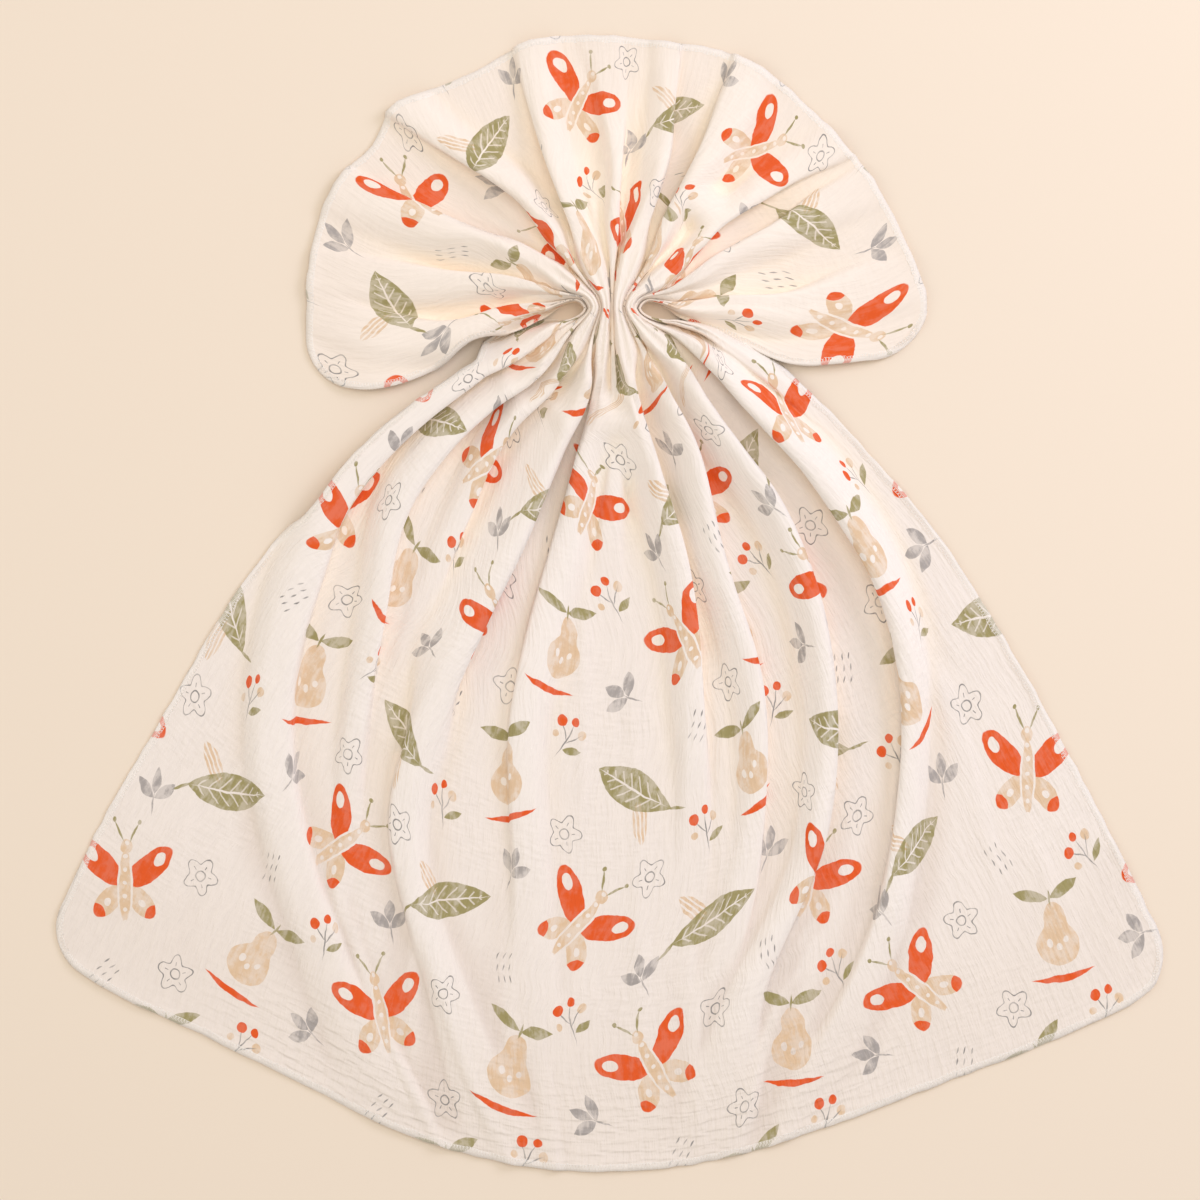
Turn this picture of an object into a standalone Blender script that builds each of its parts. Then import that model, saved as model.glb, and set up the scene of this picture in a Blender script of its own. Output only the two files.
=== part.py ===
"""A muslin swaddle blanket laid out on a flat surface and drawn together across its width.

One rectangular cloth. A gather at about a quarter of its length pulls the whole width into a narrow
bundle of upright pleats. Above the gather the cloth opens as a half-round fan, below it as a long skirt,
and the pleats run out into soft folds on both sides. Units are metres, +Z is up from the surface, +Y is
towards the fan, and the origin is below the middle of the laid-out cloth.
"""

from collections import namedtuple

import bmesh
import bpy
import numpy as np

# The cloth, laid flat: its short part above the gather and its long part below it.
CLOTH_WIDTH = 1.20
FAN_LENGTH = 0.272
SKIRT_LENGTH = 0.830
CLOTH_THICKNESS = 0.0010
CORNER_RADIUS = 0.045

# The gather.
GATHER_HALF_WIDTH = 0.028
GATHER_PLACE = (0.0025, 0.2926)
GATHER_SPREAD = 0.060

# How far the fan's side edges lie over the skirt's side edges, between the gather and the notches.
EDGE_LIFT = 0.007
EDGE_LIFT_FROM = 0.86

# Mesh fineness: columns in each half of a pleat, beside the outermost pleats and along the edges, how much
# closer they are on the walls of the folds, and rows by their distance from the gather.
COLUMNS_IN_HALF_PLEAT = 4
COLUMNS_BESIDE = 5
COLUMNS_IN_EDGE = 3
WALL_FINENESS = 4.0
SKIRT_ROWS = (0.007, 0.018, 0.034, 0.056, 0.085, 0.122, 0.165, 0.215, 0.270, 0.325, 0.380, 0.435, 0.490,
              0.550, 0.610, 0.670, 0.725, 0.775, 0.810, 0.830)
FAN_ROWS = (0.007, 0.018, 0.036, 0.064, 0.102, 0.147, 0.195, 0.227, 0.252, 0.272)

# Side edges as seen from the gather: how far each has turned from the cloth's length, in degrees.
Edge = namedtuple("Edge", "distance left right")
SKIRT_EDGES = (
    Edge(0.000, 20.0, 20.0),
    Edge(0.010, 48.0, 48.0),
    Edge(0.020, 67.0, 67.0),
    Edge(0.040, 77.0, 77.0),
    Edge(0.065, 76.5, 77.0),
    Edge(0.110, 73.5, 74.0),
    Edge(0.160, 69.5, 70.5),
    Edge(0.210, 66.5, 65.5),
    Edge(0.300, 61.0, 58.5),
    Edge(0.360, 56.6, 55.6),
    Edge(0.440, 53.0, 51.6),
    Edge(0.600, 47.0, 45.6),
    Edge(0.705, 44.4, 42.8),
    Edge(0.783, 42.5, 41.1),
    Edge(0.830, 41.6, 40.3),
)
FAN_EDGES = (
    Edge(0.000, 20.0, 20.0),
    Edge(0.010, 47.0, 47.0),
    Edge(0.020, 76.0, 76.0),
    Edge(0.040, 99.0, 99.0),
    Edge(0.065, 106.0, 105.5),
    Edge(0.110, 109.5, 108.5),
    Edge(0.160, 111.8, 109.8),
    Edge(0.215, 110.6, 104.2),
    Edge(0.250, 107.0, 100.2),
    Edge(0.272, 104.5, 97.2),
)

# The two uneven hems as seen from the gather: direction in degrees from the cloth's length, and distance.
Reach = namedtuple("Reach", "direction distance")
SKIRT_HEM = (
    Reach(-43.0, 0.836), Reach(-36.5, 0.828), Reach(-29.0, 0.814), Reach(-22.0, 0.815),
    Reach(-14.0, 0.831), Reach(-5.0, 0.843), Reach(5.0, 0.840), Reach(15.0, 0.826),
    Reach(22.0, 0.822), Reach(30.0, 0.832), Reach(37.0, 0.847), Reach(42.0, 0.850),
)
FAN_HEM = (
    Reach(-108.0, 0.310), Reach(-95.0, 0.297), Reach(-80.0, 0.295), Reach(-66.0, 0.290),
    Reach(-56.0, 0.277), Reach(-46.5, 0.285), Reach(-39.0, 0.267), Reach(-26.0, 0.260),
    Reach(-18.0, 0.265), Reach(-8.0, 0.260), Reach(10.0, 0.257), Reach(27.0, 0.267),
    Reach(50.0, 0.269), Reach(62.0, 0.276), Reach(78.0, 0.289), Reach(90.0, 0.304),
    Reach(100.0, 0.310),
)

# One row for each main fold. "place" is where its pleat stands in the gather, from -1 at the left edge to
# 1 at the right edge, and "tall" its height there. The angles a1 to a7 are the directions of the crest in
# degrees at SKIRT_STATIONS, and h1 to h7 its heights in millimetres there. "lean" is how far the crest laps
# to the right for each millimetre of height, and "low_lean" the same where the fold lies far out.
SKIRT_STATIONS = (0.075, 0.150, 0.250, 0.400, 0.550, 0.700, 0.800)
Fold = namedtuple("Fold", "name place tall a1 a2 a3 a4 a5 a6 a7 h1 h2 h3 h4 h5 h6 h7 lean low_lean")
SKIRT_FOLDS = (
    Fold("outer_left", -0.93, 26, -59, -61, -60, -47.8, -36.5, -24, -16, 27, 28, 23, 18, 11, 7, 4, 0.75, 0.75),
    Fold("left", -0.77, 22, -44, -49, -47.6, -35.3, -28, -20.5, -13.5, 32, 27, 21, 14, 3, 0, 0, 0.9, 0.3),
    Fold("inner_left", -0.59, 37, -33, -38.5, -35, -30, -26, -17.5, -11, 32, 23, 11, 1, 0, 0, 0, 0.9, 0.0),
    Fold("long_left", -0.41, 20, -17, -20, -21.2, -23.4, -21.9, -12.8, -8, 36, 30, 26, 21, 11, 7, 3, 1.3, -0.75),
    Fold("split", -0.21, 37, -8, -10.5, -11.5, -12.3, -8.5, -6, -4.5, 27, 20, 12, 12, 7, 2, 0, -0.9, -0.75),
    Fold("middle", -0.01, 22, 1, 1, -1, -1, -1, -1, -1.5, 23, 13, 3, 0, 0, 0, 0, 0.0, 0.0),
    Fold("inner_right", 0.19, 38, 11, 13.2, 14.6, 11.5, 8, 4, 1.5, 34, 27, 21, 14, 2, 0, 0, 0.9, 0.45),
    Fold("right", 0.39, 21, 28, 28, 23, 20.4, 14.2, 7.5, 4.5, 32, 27, 22, 17, 8, 2, 0, 1.05, 0.9),
    Fold("long_right", 0.58, 38, 43, 39.8, 38.5, 30.8, 21.6, 10.3, 7.5, 35, 30, 26, 23, 16, 8, 3, 0.9, 0.9),
    Fold("outer_right", 0.77, 22, 60, 53, 49.6, 41.9, 30.9, 20.9, 13, 33, 29, 26, 24, 16, 7, 2, -0.75, -0.75),
    Fold("edge_right", 0.93, 26, 71, 65, 60, 50, 42, 33, 24, 23, 15, 3, 1, 0, 0, 0, -0.45, 0.0),
)
# How wide each fold is from its crest to its foot, in millimetres at the same stations.
SkirtWidth = namedtuple("SkirtWidth", "name w1 w2 w3 w4 w5 w6 w7")
SKIRT_WIDTHS = (
    SkirtWidth("outer_left", 12, 15, 24, 36, 38, 46, 70),
    SkirtWidth("left", 11, 15, 23, 19, 22, 40, 50),
    SkirtWidth("inner_left", 10, 13, 17, 22, 30, 40, 50),
    SkirtWidth("long_left", 13, 15, 20, 27, 27, 36, 60),
    SkirtWidth("split", 11, 14, 24, 24, 26, 36, 50),
    SkirtWidth("middle", 10, 13, 20, 30, 40, 50, 60),
    SkirtWidth("inner_right", 12, 14, 17, 19, 26, 50, 60),
    SkirtWidth("right", 10, 12, 14, 16, 20, 34, 50),
    SkirtWidth("long_right", 11, 13, 15, 17, 21, 34, 60),
    SkirtWidth("outer_right", 12, 15, 21, 20, 20, 32, 60),
    SkirtWidth("edge_right", 10, 14, 24, 34, 40, 50, 60),
)
FAN_STATIONS = (0.060, 0.130, 0.200, 0.272)
FanFold = namedtuple("FanFold", "a1 a2 a3 a4 h1 h2 h3 h4 lean low_lean")
FAN_FOLDS = (
    FanFold(-92, -101, -98, -90, 22, 17, 8, 2, 0.75, 0.6),
    FanFold(-76, -82, -84, -84, 31, 19, 8, 3, 0.75, 0.75),
    FanFold(-58, -63.8, -65.8, -67, 33, 24, 13, 5, 1.2, 1.2),
    FanFold(-40, -41, -45.5, -47, 35, 27, 15, 9, -0.75, 0.45),
    FanFold(-24.5, -24, -21, -17.5, 35, 26, 14, 8, -0.75, 0.0),
    FanFold(1, 2, 0, -3, 32, 19, 6, 2, 0.3, 0.0),
    FanFold(19, 20.5, 16.1, 12.5, 35, 26, 13, 6, 1.05, 0.9),
    FanFold(36, 33, 32, 30, 35, 27, 15, 7, -0.75, -0.6),
    FanFold(57, 53.5, 54, 55, 34, 25, 12, 5, 0.75, 0.75),
    FanFold(72, 67.5, 66, 65, 31, 20, 10, 4, -0.75, -0.75),
    FanFold(91, 92, 88, 85, 22, 17, 8, 3, -0.75, -0.6),
)
FanWidth = namedtuple("FanWidth", "w1 w2 w3 w4")
FAN_WIDTHS = (
    FanWidth(12, 22, 30, 34),
    FanWidth(11, 20, 28, 32),
    FanWidth(10, 17, 26, 32),
    FanWidth(10, 13, 20, 28),
    FanWidth(9, 12, 20, 30),
    FanWidth(8, 10, 20, 30),
    FanWidth(9, 11, 15, 20),
    FanWidth(10, 16, 26, 30),
    FanWidth(9, 12, 19, 28),
    FanWidth(10, 15, 24, 30),
    FanWidth(12, 22, 30, 34),
)

# How a fold stands: how much of its pleat it fills in the gather, and how round it is, 1 for a soft wave
# and 2 or more for a roll with a broad top and steep walls.
Shape = namedtuple("Shape", "distance fill roundness")
FOLD_SHAPES = (
    Shape(0.00, 0.90, 2.4),
    Shape(0.03, 0.88, 2.4),
    Shape(0.08, 0.85, 2.2),
    Shape(0.15, 0.85, 2.1),
    Shape(0.25, 0.85, 2.2),
    Shape(0.40, 0.85, 2.3),
    Shape(0.55, 0.85, 2.2),
    Shape(0.70, 0.85, 1.8),
    Shape(0.83, 0.85, 1.5),
)
LAP_FROM = 0.045
LAP_AT = 0.150
FREE_FROM = 0.055
FREE_AT = 0.130
MIDDLING_TALL = 28.5
# The pleats stand on a heap of cloth at the gather, which falls away from it.
HEAP_HEIGHT = 0.031
HEAP_LENGTH = 0.180
# The pleats sag a little towards the skirt where they are drawn together.
GATHER_SAG = 0.008
LOWEST_FOLD = 0.0005
OUTERMOST_CREST = 0.955
EDGE_STRIP = 0.03


def smooth_curve(at, values, x):
    """A smooth line through the values given at the places in `at`."""
    at = np.asarray(at, float)
    values = np.asarray(values, float)
    slopes = np.gradient(values, at)
    k = np.clip(np.searchsorted(at, x, side="right") - 1, 0, len(at) - 2)
    step = at[k + 1] - at[k]
    f = np.clip((x - at[k]) / step, 0.0, 1.0)
    rise = values[k + 1] - values[k]
    blend = f * f * (3 - 2 * f)
    start = f * (1 - f) ** 2 * slopes[k] * step
    end = f * f * (f - 1) * slopes[k + 1] * step
    return values[k] + rise * blend + start + end


def ramp(x, low, high):
    """Rises smoothly from 0 at low to 1 at high."""
    f = np.clip((x - low) / (high - low), 0.0, 1.0)
    return f * f * (3 - 2 * f)


def column(rows, name, scale=1.0):
    """One named column of a table."""
    return np.array([getattr(row, name) * scale for row in rows])


def edge_angle(edges, distance, share):
    """How far a side edge has turned at this distance, in radians: the left one where share is negative."""
    at = column(edges, "distance")
    left = smooth_curve(at, column(edges, "left"), distance)
    right = smooth_curve(at, column(edges, "right"), distance)
    return np.radians(np.where(share < 0, left, right))


def crest_shares(edges, folds, places, stations, distance):
    """Where each fold's crest lies across the cloth, -1 to 1, at each distance. One column for each fold."""
    count = len(stations)
    shares = []
    for place, fold in zip(places, folds):
        angles = np.radians([getattr(fold, f"a{n + 1}") for n in range(count)])
        turned = angles / edge_angle(edges, np.array(stations), angles)
        shares.append(smooth_curve((0.0, *stations), (place, *turned), distance))
    return np.stack(shares, axis=-1)


def crest_heights(folds, talls, stations, last, distance):
    """The height of each fold at each distance. One column for each fold."""
    heights = []
    for tall, fold in zip(talls, folds):
        known = [getattr(fold, f"h{n + 1}") for n in range(len(stations))]
        at = (0.0, *stations)
        values = [tall, *known]
        if last > stations[-1]:
            at = (*at, last)
            values.append(0.0)
        heights.append(0.001 * smooth_curve(at, values, distance))
    return np.maximum(np.stack(heights, axis=-1), 0.0)


def fold_shape(name, distance):
    return smooth_curve(column(FOLD_SHAPES, "distance"), column(FOLD_SHAPES, name), distance)


def fold_widths(rows, stations, distance):
    """How wide each fold is from crest to foot at each distance. One column for each fold."""
    widths = []
    for row in rows:
        known = [getattr(row, f"w{n + 1}") for n in range(len(stations))]
        widths.append(0.001 * smooth_curve(stations, known, np.clip(distance, stations[0], stations[-1])))
    return np.stack(widths, axis=-1)


def fold_leans(folds, distance):
    """How far each crest laps to the right. One column for each fold."""
    low = ramp(distance, 0.36, 0.50)
    lapped = ramp(distance, LAP_FROM, LAP_AT)
    return np.stack([lapped * (fold.lean * (1 - low) + fold.low_lean * low) for fold in folds], axis=-1)


def share_to_foot(gap, width, tall, half_arc, distance):
    """How much of the cloth's half width lies between a crest and its foot: a part of the room between two
    pleats close to the gather, where tall ones spread over low ones, and the fold's own width farther out."""
    pressed = (tall / MIDDLING_TALL) ** 3
    pressed = pressed + (1 - pressed) * ramp(distance, 0.03, 0.09)
    free = ramp(distance, FREE_FROM, FREE_AT)
    return gap * fold_shape("fill", distance) * pressed * (1 - free) + width / half_arc * free


def places_from_crest(reach, count):
    """Where `count` mesh columns lie between a crest (0) and the line midway to the next one (1), closer
    together on the fold's wall. Its foot is at `reach`. One array for each."""
    top = 0.42 * np.minimum(reach, 1.0)
    bottom = np.clip(0.97 * reach, 0.05, 0.95)
    wall = WALL_FINENESS * (bottom - top)
    whole = top + wall + 1 - bottom
    places = []
    for n in range(count):
        at = n / count * whole
        on_wall = top + (at - top) / WALL_FINENESS
        on_flat = bottom + at - top - wall
        places.append(np.where(at < top, at, np.where(at < top + wall, on_wall, on_flat)))
    return [*places, np.ones_like(reach)]


def column_shares(crests, widths, talls, edges, distance, length):
    """Mesh columns across the cloth: on the folds' crests and feet, and close together at both edges."""
    corner = ramp(distance, length - 3 * CORNER_RADIUS, length - CORNER_RADIUS)
    edge = 1 - EDGE_STRIP - corner * (CORNER_RADIUS / (CLOTH_WIDTH / 2) - EDGE_STRIP)
    midway = (crests[:, 1:] + crests[:, :-1]) / 2
    half_arc = GATHER_HALF_WIDTH + distance * edge_angle(edges, distance, distance)
    edge_columns = [1 - (1 - edge) * n / COLUMNS_IN_EDGE for n in range(COLUMNS_IN_EDGE)]
    columns = [-column for column in edge_columns]
    for k in range(crests.shape[1]):
        crest = crests[:, k]
        left = midway[:, k - 1] if k > 0 else -edge
        right = midway[:, k] if k < midway.shape[1] else edge
        at_ends = (k == 0, k == midway.shape[1])
        counts = [COLUMNS_BESIDE if at_end else COLUMNS_IN_HALF_PLEAT for at_end in at_ends]
        parts = []
        for gap, count in zip((crest - left, right - crest), counts):
            foot = share_to_foot(gap, widths[:, k], talls[k], half_arc, distance)
            parts.append(places_from_crest(foot / gap, count))
        columns += [crest - (crest - left) * part for part in parts[0][:0:-1]]
        columns += [crest + (right - crest) * part for part in parts[1][:-1]]
    return np.stack([*columns, edge, *edge_columns[::-1]], axis=1)


def rounded_corner(share, distance, length):
    """Draws the grid in at the two outer corners, so that they are round."""
    half = CLOTH_WIDTH / 2
    beside = np.clip(1 - (half - np.abs(share) * half) / CORNER_RADIUS, 0.0, 1.0)
    along = np.clip(1 - (length - distance) / CORNER_RADIUS, 0.0, 1.0)
    new_beside = beside * np.sqrt(1 - along ** 2 / 2)
    new_along = along * np.sqrt(1 - beside ** 2 / 2)
    share = np.sign(share) * (np.abs(share) - (beside - new_beside) * CORNER_RADIUS / half)
    distance = distance - (along - new_along) * CORNER_RADIUS
    return share, distance


def fold_relief(share, distance, folds, half_arc):
    """Height of the cloth and how far it laps sideways, from all the folds together."""
    crests = folds["crests"]
    ends = np.concatenate([-2 - crests[..., :1], crests, 2 - crests[..., -1:]], axis=-1)
    gaps = np.diff(ends, axis=-1) / 2
    roundness = fold_shape("roundness", distance)
    power = 4.0
    heap = HEAP_HEIGHT * (1 - ramp(distance, 0.0, HEAP_LENGTH)) * (1 - ramp(np.abs(share), 0.75, 1.0))
    total = heap ** power + LOWEST_FOLD ** power
    lap = np.zeros_like(share)
    for k, tall in enumerate(folds["talls"]):
        offset = share - crests[..., k]
        gap = np.where(offset < 0, gaps[..., k], gaps[..., k + 1])
        foot = share_to_foot(gap, folds["widths"][..., k], tall, half_arc, distance)
        from_crest = np.clip(np.abs(offset) / foot, 0.0, 1.0)
        bump = folds["heights"][..., k] * np.cos(np.pi / 2 * from_crest ** roundness) ** 2
        total = total + bump ** power
        lap += bump ** power * folds["leans"][..., k]
    height = total ** (1 / power)
    return np.maximum(height - 1.01 * LOWEST_FOLD, 0.0), height * lap / total


def folds_at(distance, folds, widths, stations, edges, length):
    """Feet, heights, widths and leans of all the folds at each distance. A fold stands beside its crest, as
    far from it as it laps over."""
    talls = column(SKIRT_FOLDS, "tall")
    crests = crest_shares(edges, folds, column(SKIRT_FOLDS, "place"), stations, distance)
    heights = crest_heights(folds, talls, stations, length, distance)
    leans = fold_leans(folds, distance)
    half_arc = GATHER_HALF_WIDTH + distance * edge_angle(edges, distance, distance)
    crests = np.clip(crests - leans * heights / half_arc[..., None], -OUTERMOST_CREST, OUTERMOST_CREST)
    return {
        "crests": crests,
        "heights": heights,
        "widths": fold_widths(widths, stations, distance),
        "leans": leans,
        "talls": talls,
    }


def lay_out(share, distance, length, edges, hem, folds, forward):
    """Points of the cloth's middle surface. `forward` is 1 towards the fan and -1 towards the skirt."""
    angle = share * edge_angle(edges, distance, share)
    reach = smooth_curve(column(hem, "direction"), column(hem, "distance"), np.degrees(angle))
    far = ramp(distance, 0.1 * length, length)
    radius = distance * (1 + far * (reach / length - 1))
    half_arc = GATHER_HALF_WIDTH + distance * edge_angle(edges, distance, share)
    height, lap = fold_relief(share, distance, folds, half_arc)
    offset = GATHER_HALF_WIDTH * share / (1 + (distance / GATHER_SPREAD) ** 2)
    x = offset + radius * np.sin(angle) + lap * np.cos(angle)
    y = forward * (radius * np.cos(angle) - lap * np.sin(angle))
    y = y - GATHER_SAG * (1 - ramp(distance, 0.02, 0.10))
    if forward > 0:
        beside = ramp(np.abs(share), EDGE_LIFT_FROM, 1.0)
        height = height + EDGE_LIFT * beside * ramp(distance, 0.02, 0.06) * (1 - ramp(distance, 0.20, 0.26))
    return np.stack([x + GATHER_PLACE[0], y + GATHER_PLACE[1], height + CLOTH_THICKNESS / 2], axis=-1)


def half_of_cloth(rows, length, edges, hem, folds, widths, stations, forward):
    """The middle surface on one side of the gather, row by row outwards from it."""
    distance = np.array((0.0, *rows))
    laid = folds_at(distance, folds, widths, stations, edges, length)
    share = column_shares(laid["crests"], laid["widths"], laid["talls"], edges, distance, length)
    distance = np.broadcast_to(distance[:, None], share.shape)
    share, distance = rounded_corner(share, distance, length)
    laid = folds_at(distance, folds, widths, stations, edges, length)
    return lay_out(share, distance, length, edges, hem, laid, forward)


def middle_surface():
    """The whole cloth as a grid of points, from the bottom hem to the top of the fan."""
    skirt = half_of_cloth(SKIRT_ROWS, SKIRT_LENGTH, SKIRT_EDGES, SKIRT_HEM, SKIRT_FOLDS, SKIRT_WIDTHS,
                          SKIRT_STATIONS, -1)
    fan = half_of_cloth(FAN_ROWS, FAN_LENGTH, FAN_EDGES, FAN_HEM, FAN_FOLDS, FAN_WIDTHS, FAN_STATIONS, 1)
    return np.concatenate([skirt[::-1], fan[1:]])


def surface_normals(points):
    """Unit normals of a grid of points, facing up where it lies flat."""
    along = np.gradient(points, axis=0)
    across = np.gradient(points, axis=1)
    normals = np.cross(across, along)
    return normals / np.linalg.norm(normals, axis=-1, keepdims=True)


def sheet_faces(rows, columns):
    """Quads of a closed sheet with a top grid, a bottom grid and a strip round the edge."""
    index = np.arange(rows * columns).reshape(rows, columns)
    top = np.stack([index[:-1, :-1], index[:-1, 1:], index[1:, 1:], index[1:, :-1]], axis=-1).reshape(-1, 4)
    bottom = top[:, ::-1] + rows * columns
    ring = np.concatenate([index[0, :-1], index[:-1, -1], index[-1, :0:-1], index[:0:-1, 0]])
    ahead = np.roll(ring, -1)
    strip = np.stack([ahead, ring, ring + rows * columns, ahead + rows * columns], axis=-1)
    return np.concatenate([top, bottom, strip])


def cloth_material():
    material = bpy.data.materials.new("ivory_muslin")
    material.use_nodes = True
    shader = material.node_tree.nodes["Principled BSDF"]
    shader.inputs["Base Color"].default_value = (0.86, 0.81, 0.72, 1.0)
    shader.inputs["Roughness"].default_value = 0.9
    return material


def build_blanket():
    middle = middle_surface()
    rows, columns = middle.shape[:2]
    half = surface_normals(middle) * CLOTH_THICKNESS / 2
    points = np.concatenate([(middle + half).reshape(-1, 3), (middle - half).reshape(-1, 3)])
    mesh = bpy.data.meshes.new("muslin_blanket")
    mesh.from_pydata(points.tolist(), [], sheet_faces(rows, columns).tolist())
    blanket = bpy.data.objects.new("muslin_blanket", mesh)
    bpy.context.scene.collection.objects.link(blanket)
    shape = bmesh.new()
    shape.from_mesh(mesh)
    bmesh.ops.triangulate(shape, faces=shape.faces[:])
    shape.to_mesh(mesh)
    shape.free()
    mesh.materials.append(cloth_material())
    return blanket


def main():
    for old in list(bpy.data.objects):
        bpy.data.objects.remove(old, do_unlink=True)
    build_blanket()


main()
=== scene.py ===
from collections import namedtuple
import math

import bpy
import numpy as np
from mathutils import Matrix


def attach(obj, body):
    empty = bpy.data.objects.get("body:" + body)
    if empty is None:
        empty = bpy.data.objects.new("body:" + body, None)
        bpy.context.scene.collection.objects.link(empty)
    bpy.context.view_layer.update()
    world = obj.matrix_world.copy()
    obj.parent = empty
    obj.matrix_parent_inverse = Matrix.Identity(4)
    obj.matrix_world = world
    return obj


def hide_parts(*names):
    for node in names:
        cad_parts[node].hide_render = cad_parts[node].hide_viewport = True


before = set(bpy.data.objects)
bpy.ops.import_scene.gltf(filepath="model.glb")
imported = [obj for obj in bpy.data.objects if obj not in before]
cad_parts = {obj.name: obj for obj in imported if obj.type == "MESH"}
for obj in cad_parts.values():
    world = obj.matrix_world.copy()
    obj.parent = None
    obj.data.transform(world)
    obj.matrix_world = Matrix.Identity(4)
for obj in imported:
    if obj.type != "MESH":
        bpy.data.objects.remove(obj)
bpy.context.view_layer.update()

# A muslin swaddle blanket laid out on a pale floor and drawn together across its width.
#
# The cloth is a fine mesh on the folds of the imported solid, with small creases laid over them. Overlock
# stitches run round its whole edge. Its weave, its crinkle and its print are drawn by the cloth's material
# in the flat cloth's own metres. Units are metres, +Z is up, +Y is towards the fan.


def table(kind, *rows):
    """Rows with the same named values."""
    return [kind(*row) for row in rows]


# The cloth, laid flat: its short part above the gather and its long part below it.
CLOTH_WIDTH = 1.20
FAN_LENGTH = 0.272
SKIRT_LENGTH = 0.830
CLOTH_THICKNESS = 0.0010
CORNER_RADIUS = 0.045

# Pairs named GROWS, FADES and the like say where something starts and where it is complete.

# The gather. Its pleats sag a little towards the skirt where they are drawn together.
GATHER_HALF_WIDTH = 0.028
GATHER_PLACE = (0.0025, 0.2926)
GATHER_SPREAD = 0.060
GATHER_SAG = 0.008
SAG_FADES = (0.02, 0.10)

# How far the fan's side edges lie over the skirt's side edges, between the gather and the notches.
EDGE_LIFT = 0.007
EDGE_LIFT_SHARES = (0.86, 1.0)
EDGE_LIFT_GROWS = (0.02, 0.06)
EDGE_LIFT_FADES = (0.20, 0.26)

# Mesh fineness: columns in half a pleat, beside the outermost pleats and along the edges, how much closer
# they are on a fold's wall, which part from crest to foot that is, and rows by distance from the gather.
COLUMNS_IN_HALF_PLEAT = 9
COLUMNS_BESIDE = 20
COLUMNS_IN_EDGE = 5
EDGE_STRIP = 0.03
WALL_FINENESS = 4.0
WALL_PART = (0.42, 0.97)
CLOSE_ROWS = np.arange(0.003, 0.059, 0.003)
SKIRT_ROWS = (*CLOSE_ROWS, *np.linspace(0.060, SKIRT_LENGTH, 129))
FAN_ROWS = (*CLOSE_ROWS, *np.linspace(0.060, FAN_LENGTH, 39))

# Side edges as seen from the gather: how far each has turned from the cloth's length, in degrees.
Edge = namedtuple("Edge", "distance left right")
SKIRT_EDGES = table(
    Edge,
    (0, 20, 20), (0.01, 48, 48), (0.02, 63, 63), (0.04, 75, 75), (0.065, 76.5, 77), (0.11, 73.5, 74),
    (0.16, 69.5, 70.5), (0.21, 66.5, 65.5), (0.3, 61, 58.5), (0.36, 56.6, 55.6), (0.44, 53, 51.6),
    (0.6, 47, 45.6), (0.705, 44.4, 42.8), (0.783, 42.5, 41.1), (0.83, 41.6, 40.3),
)
FAN_EDGES = table(
    Edge,
    (0, 20, 20), (0.01, 47, 47), (0.02, 73, 73), (0.04, 97, 97), (0.065, 106, 105.5),
    (0.11, 109.5, 108.5), (0.16, 111.8, 109.8), (0.215, 110.6, 104.2), (0.25, 107, 100.2),
    (0.272, 104.5, 97.2),
)

# The two uneven hems as seen from the gather: direction in degrees from the cloth's length, and distance.
Reach = namedtuple("Reach", "direction distance")
SKIRT_HEM = table(
    Reach,
    (-43, 0.836), (-36.5, 0.828), (-29, 0.814), (-22, 0.815), (-14, 0.831), (-5, 0.843), (5, 0.84),
    (15, 0.826), (22, 0.822), (30, 0.832), (37, 0.847), (42, 0.85),
)
FAN_HEM = table(
    Reach,
    (-108, 0.31), (-95, 0.297), (-80, 0.295), (-66, 0.29), (-56, 0.277), (-46.5, 0.285), (-39, 0.267),
    (-26, 0.26), (-18, 0.265), (-8, 0.26), (10, 0.257), (27, 0.267), (50, 0.269), (62, 0.276),
    (78, 0.289), (90, 0.304), (100, 0.31),
)

# The pleats in the gather: where each stands, from -1 at the left edge to 1 at the right edge, and its
# height there in millimetres.
Pleat = namedtuple("Pleat", "name place tall")
PLEATS = table(
    Pleat,
    ("outer_left", -0.93, 26), ("left", -0.77, 22), ("inner_left", -0.59, 37), ("long_left", -0.41, 20),
    ("split", -0.21, 37), ("middle", -0.01, 22), ("inner_right", 0.19, 38), ("right", 0.39, 21),
    ("long_right", 0.58, 38), ("outer_right", 0.77, 22), ("edge_right", 0.93, 26),
)

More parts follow.
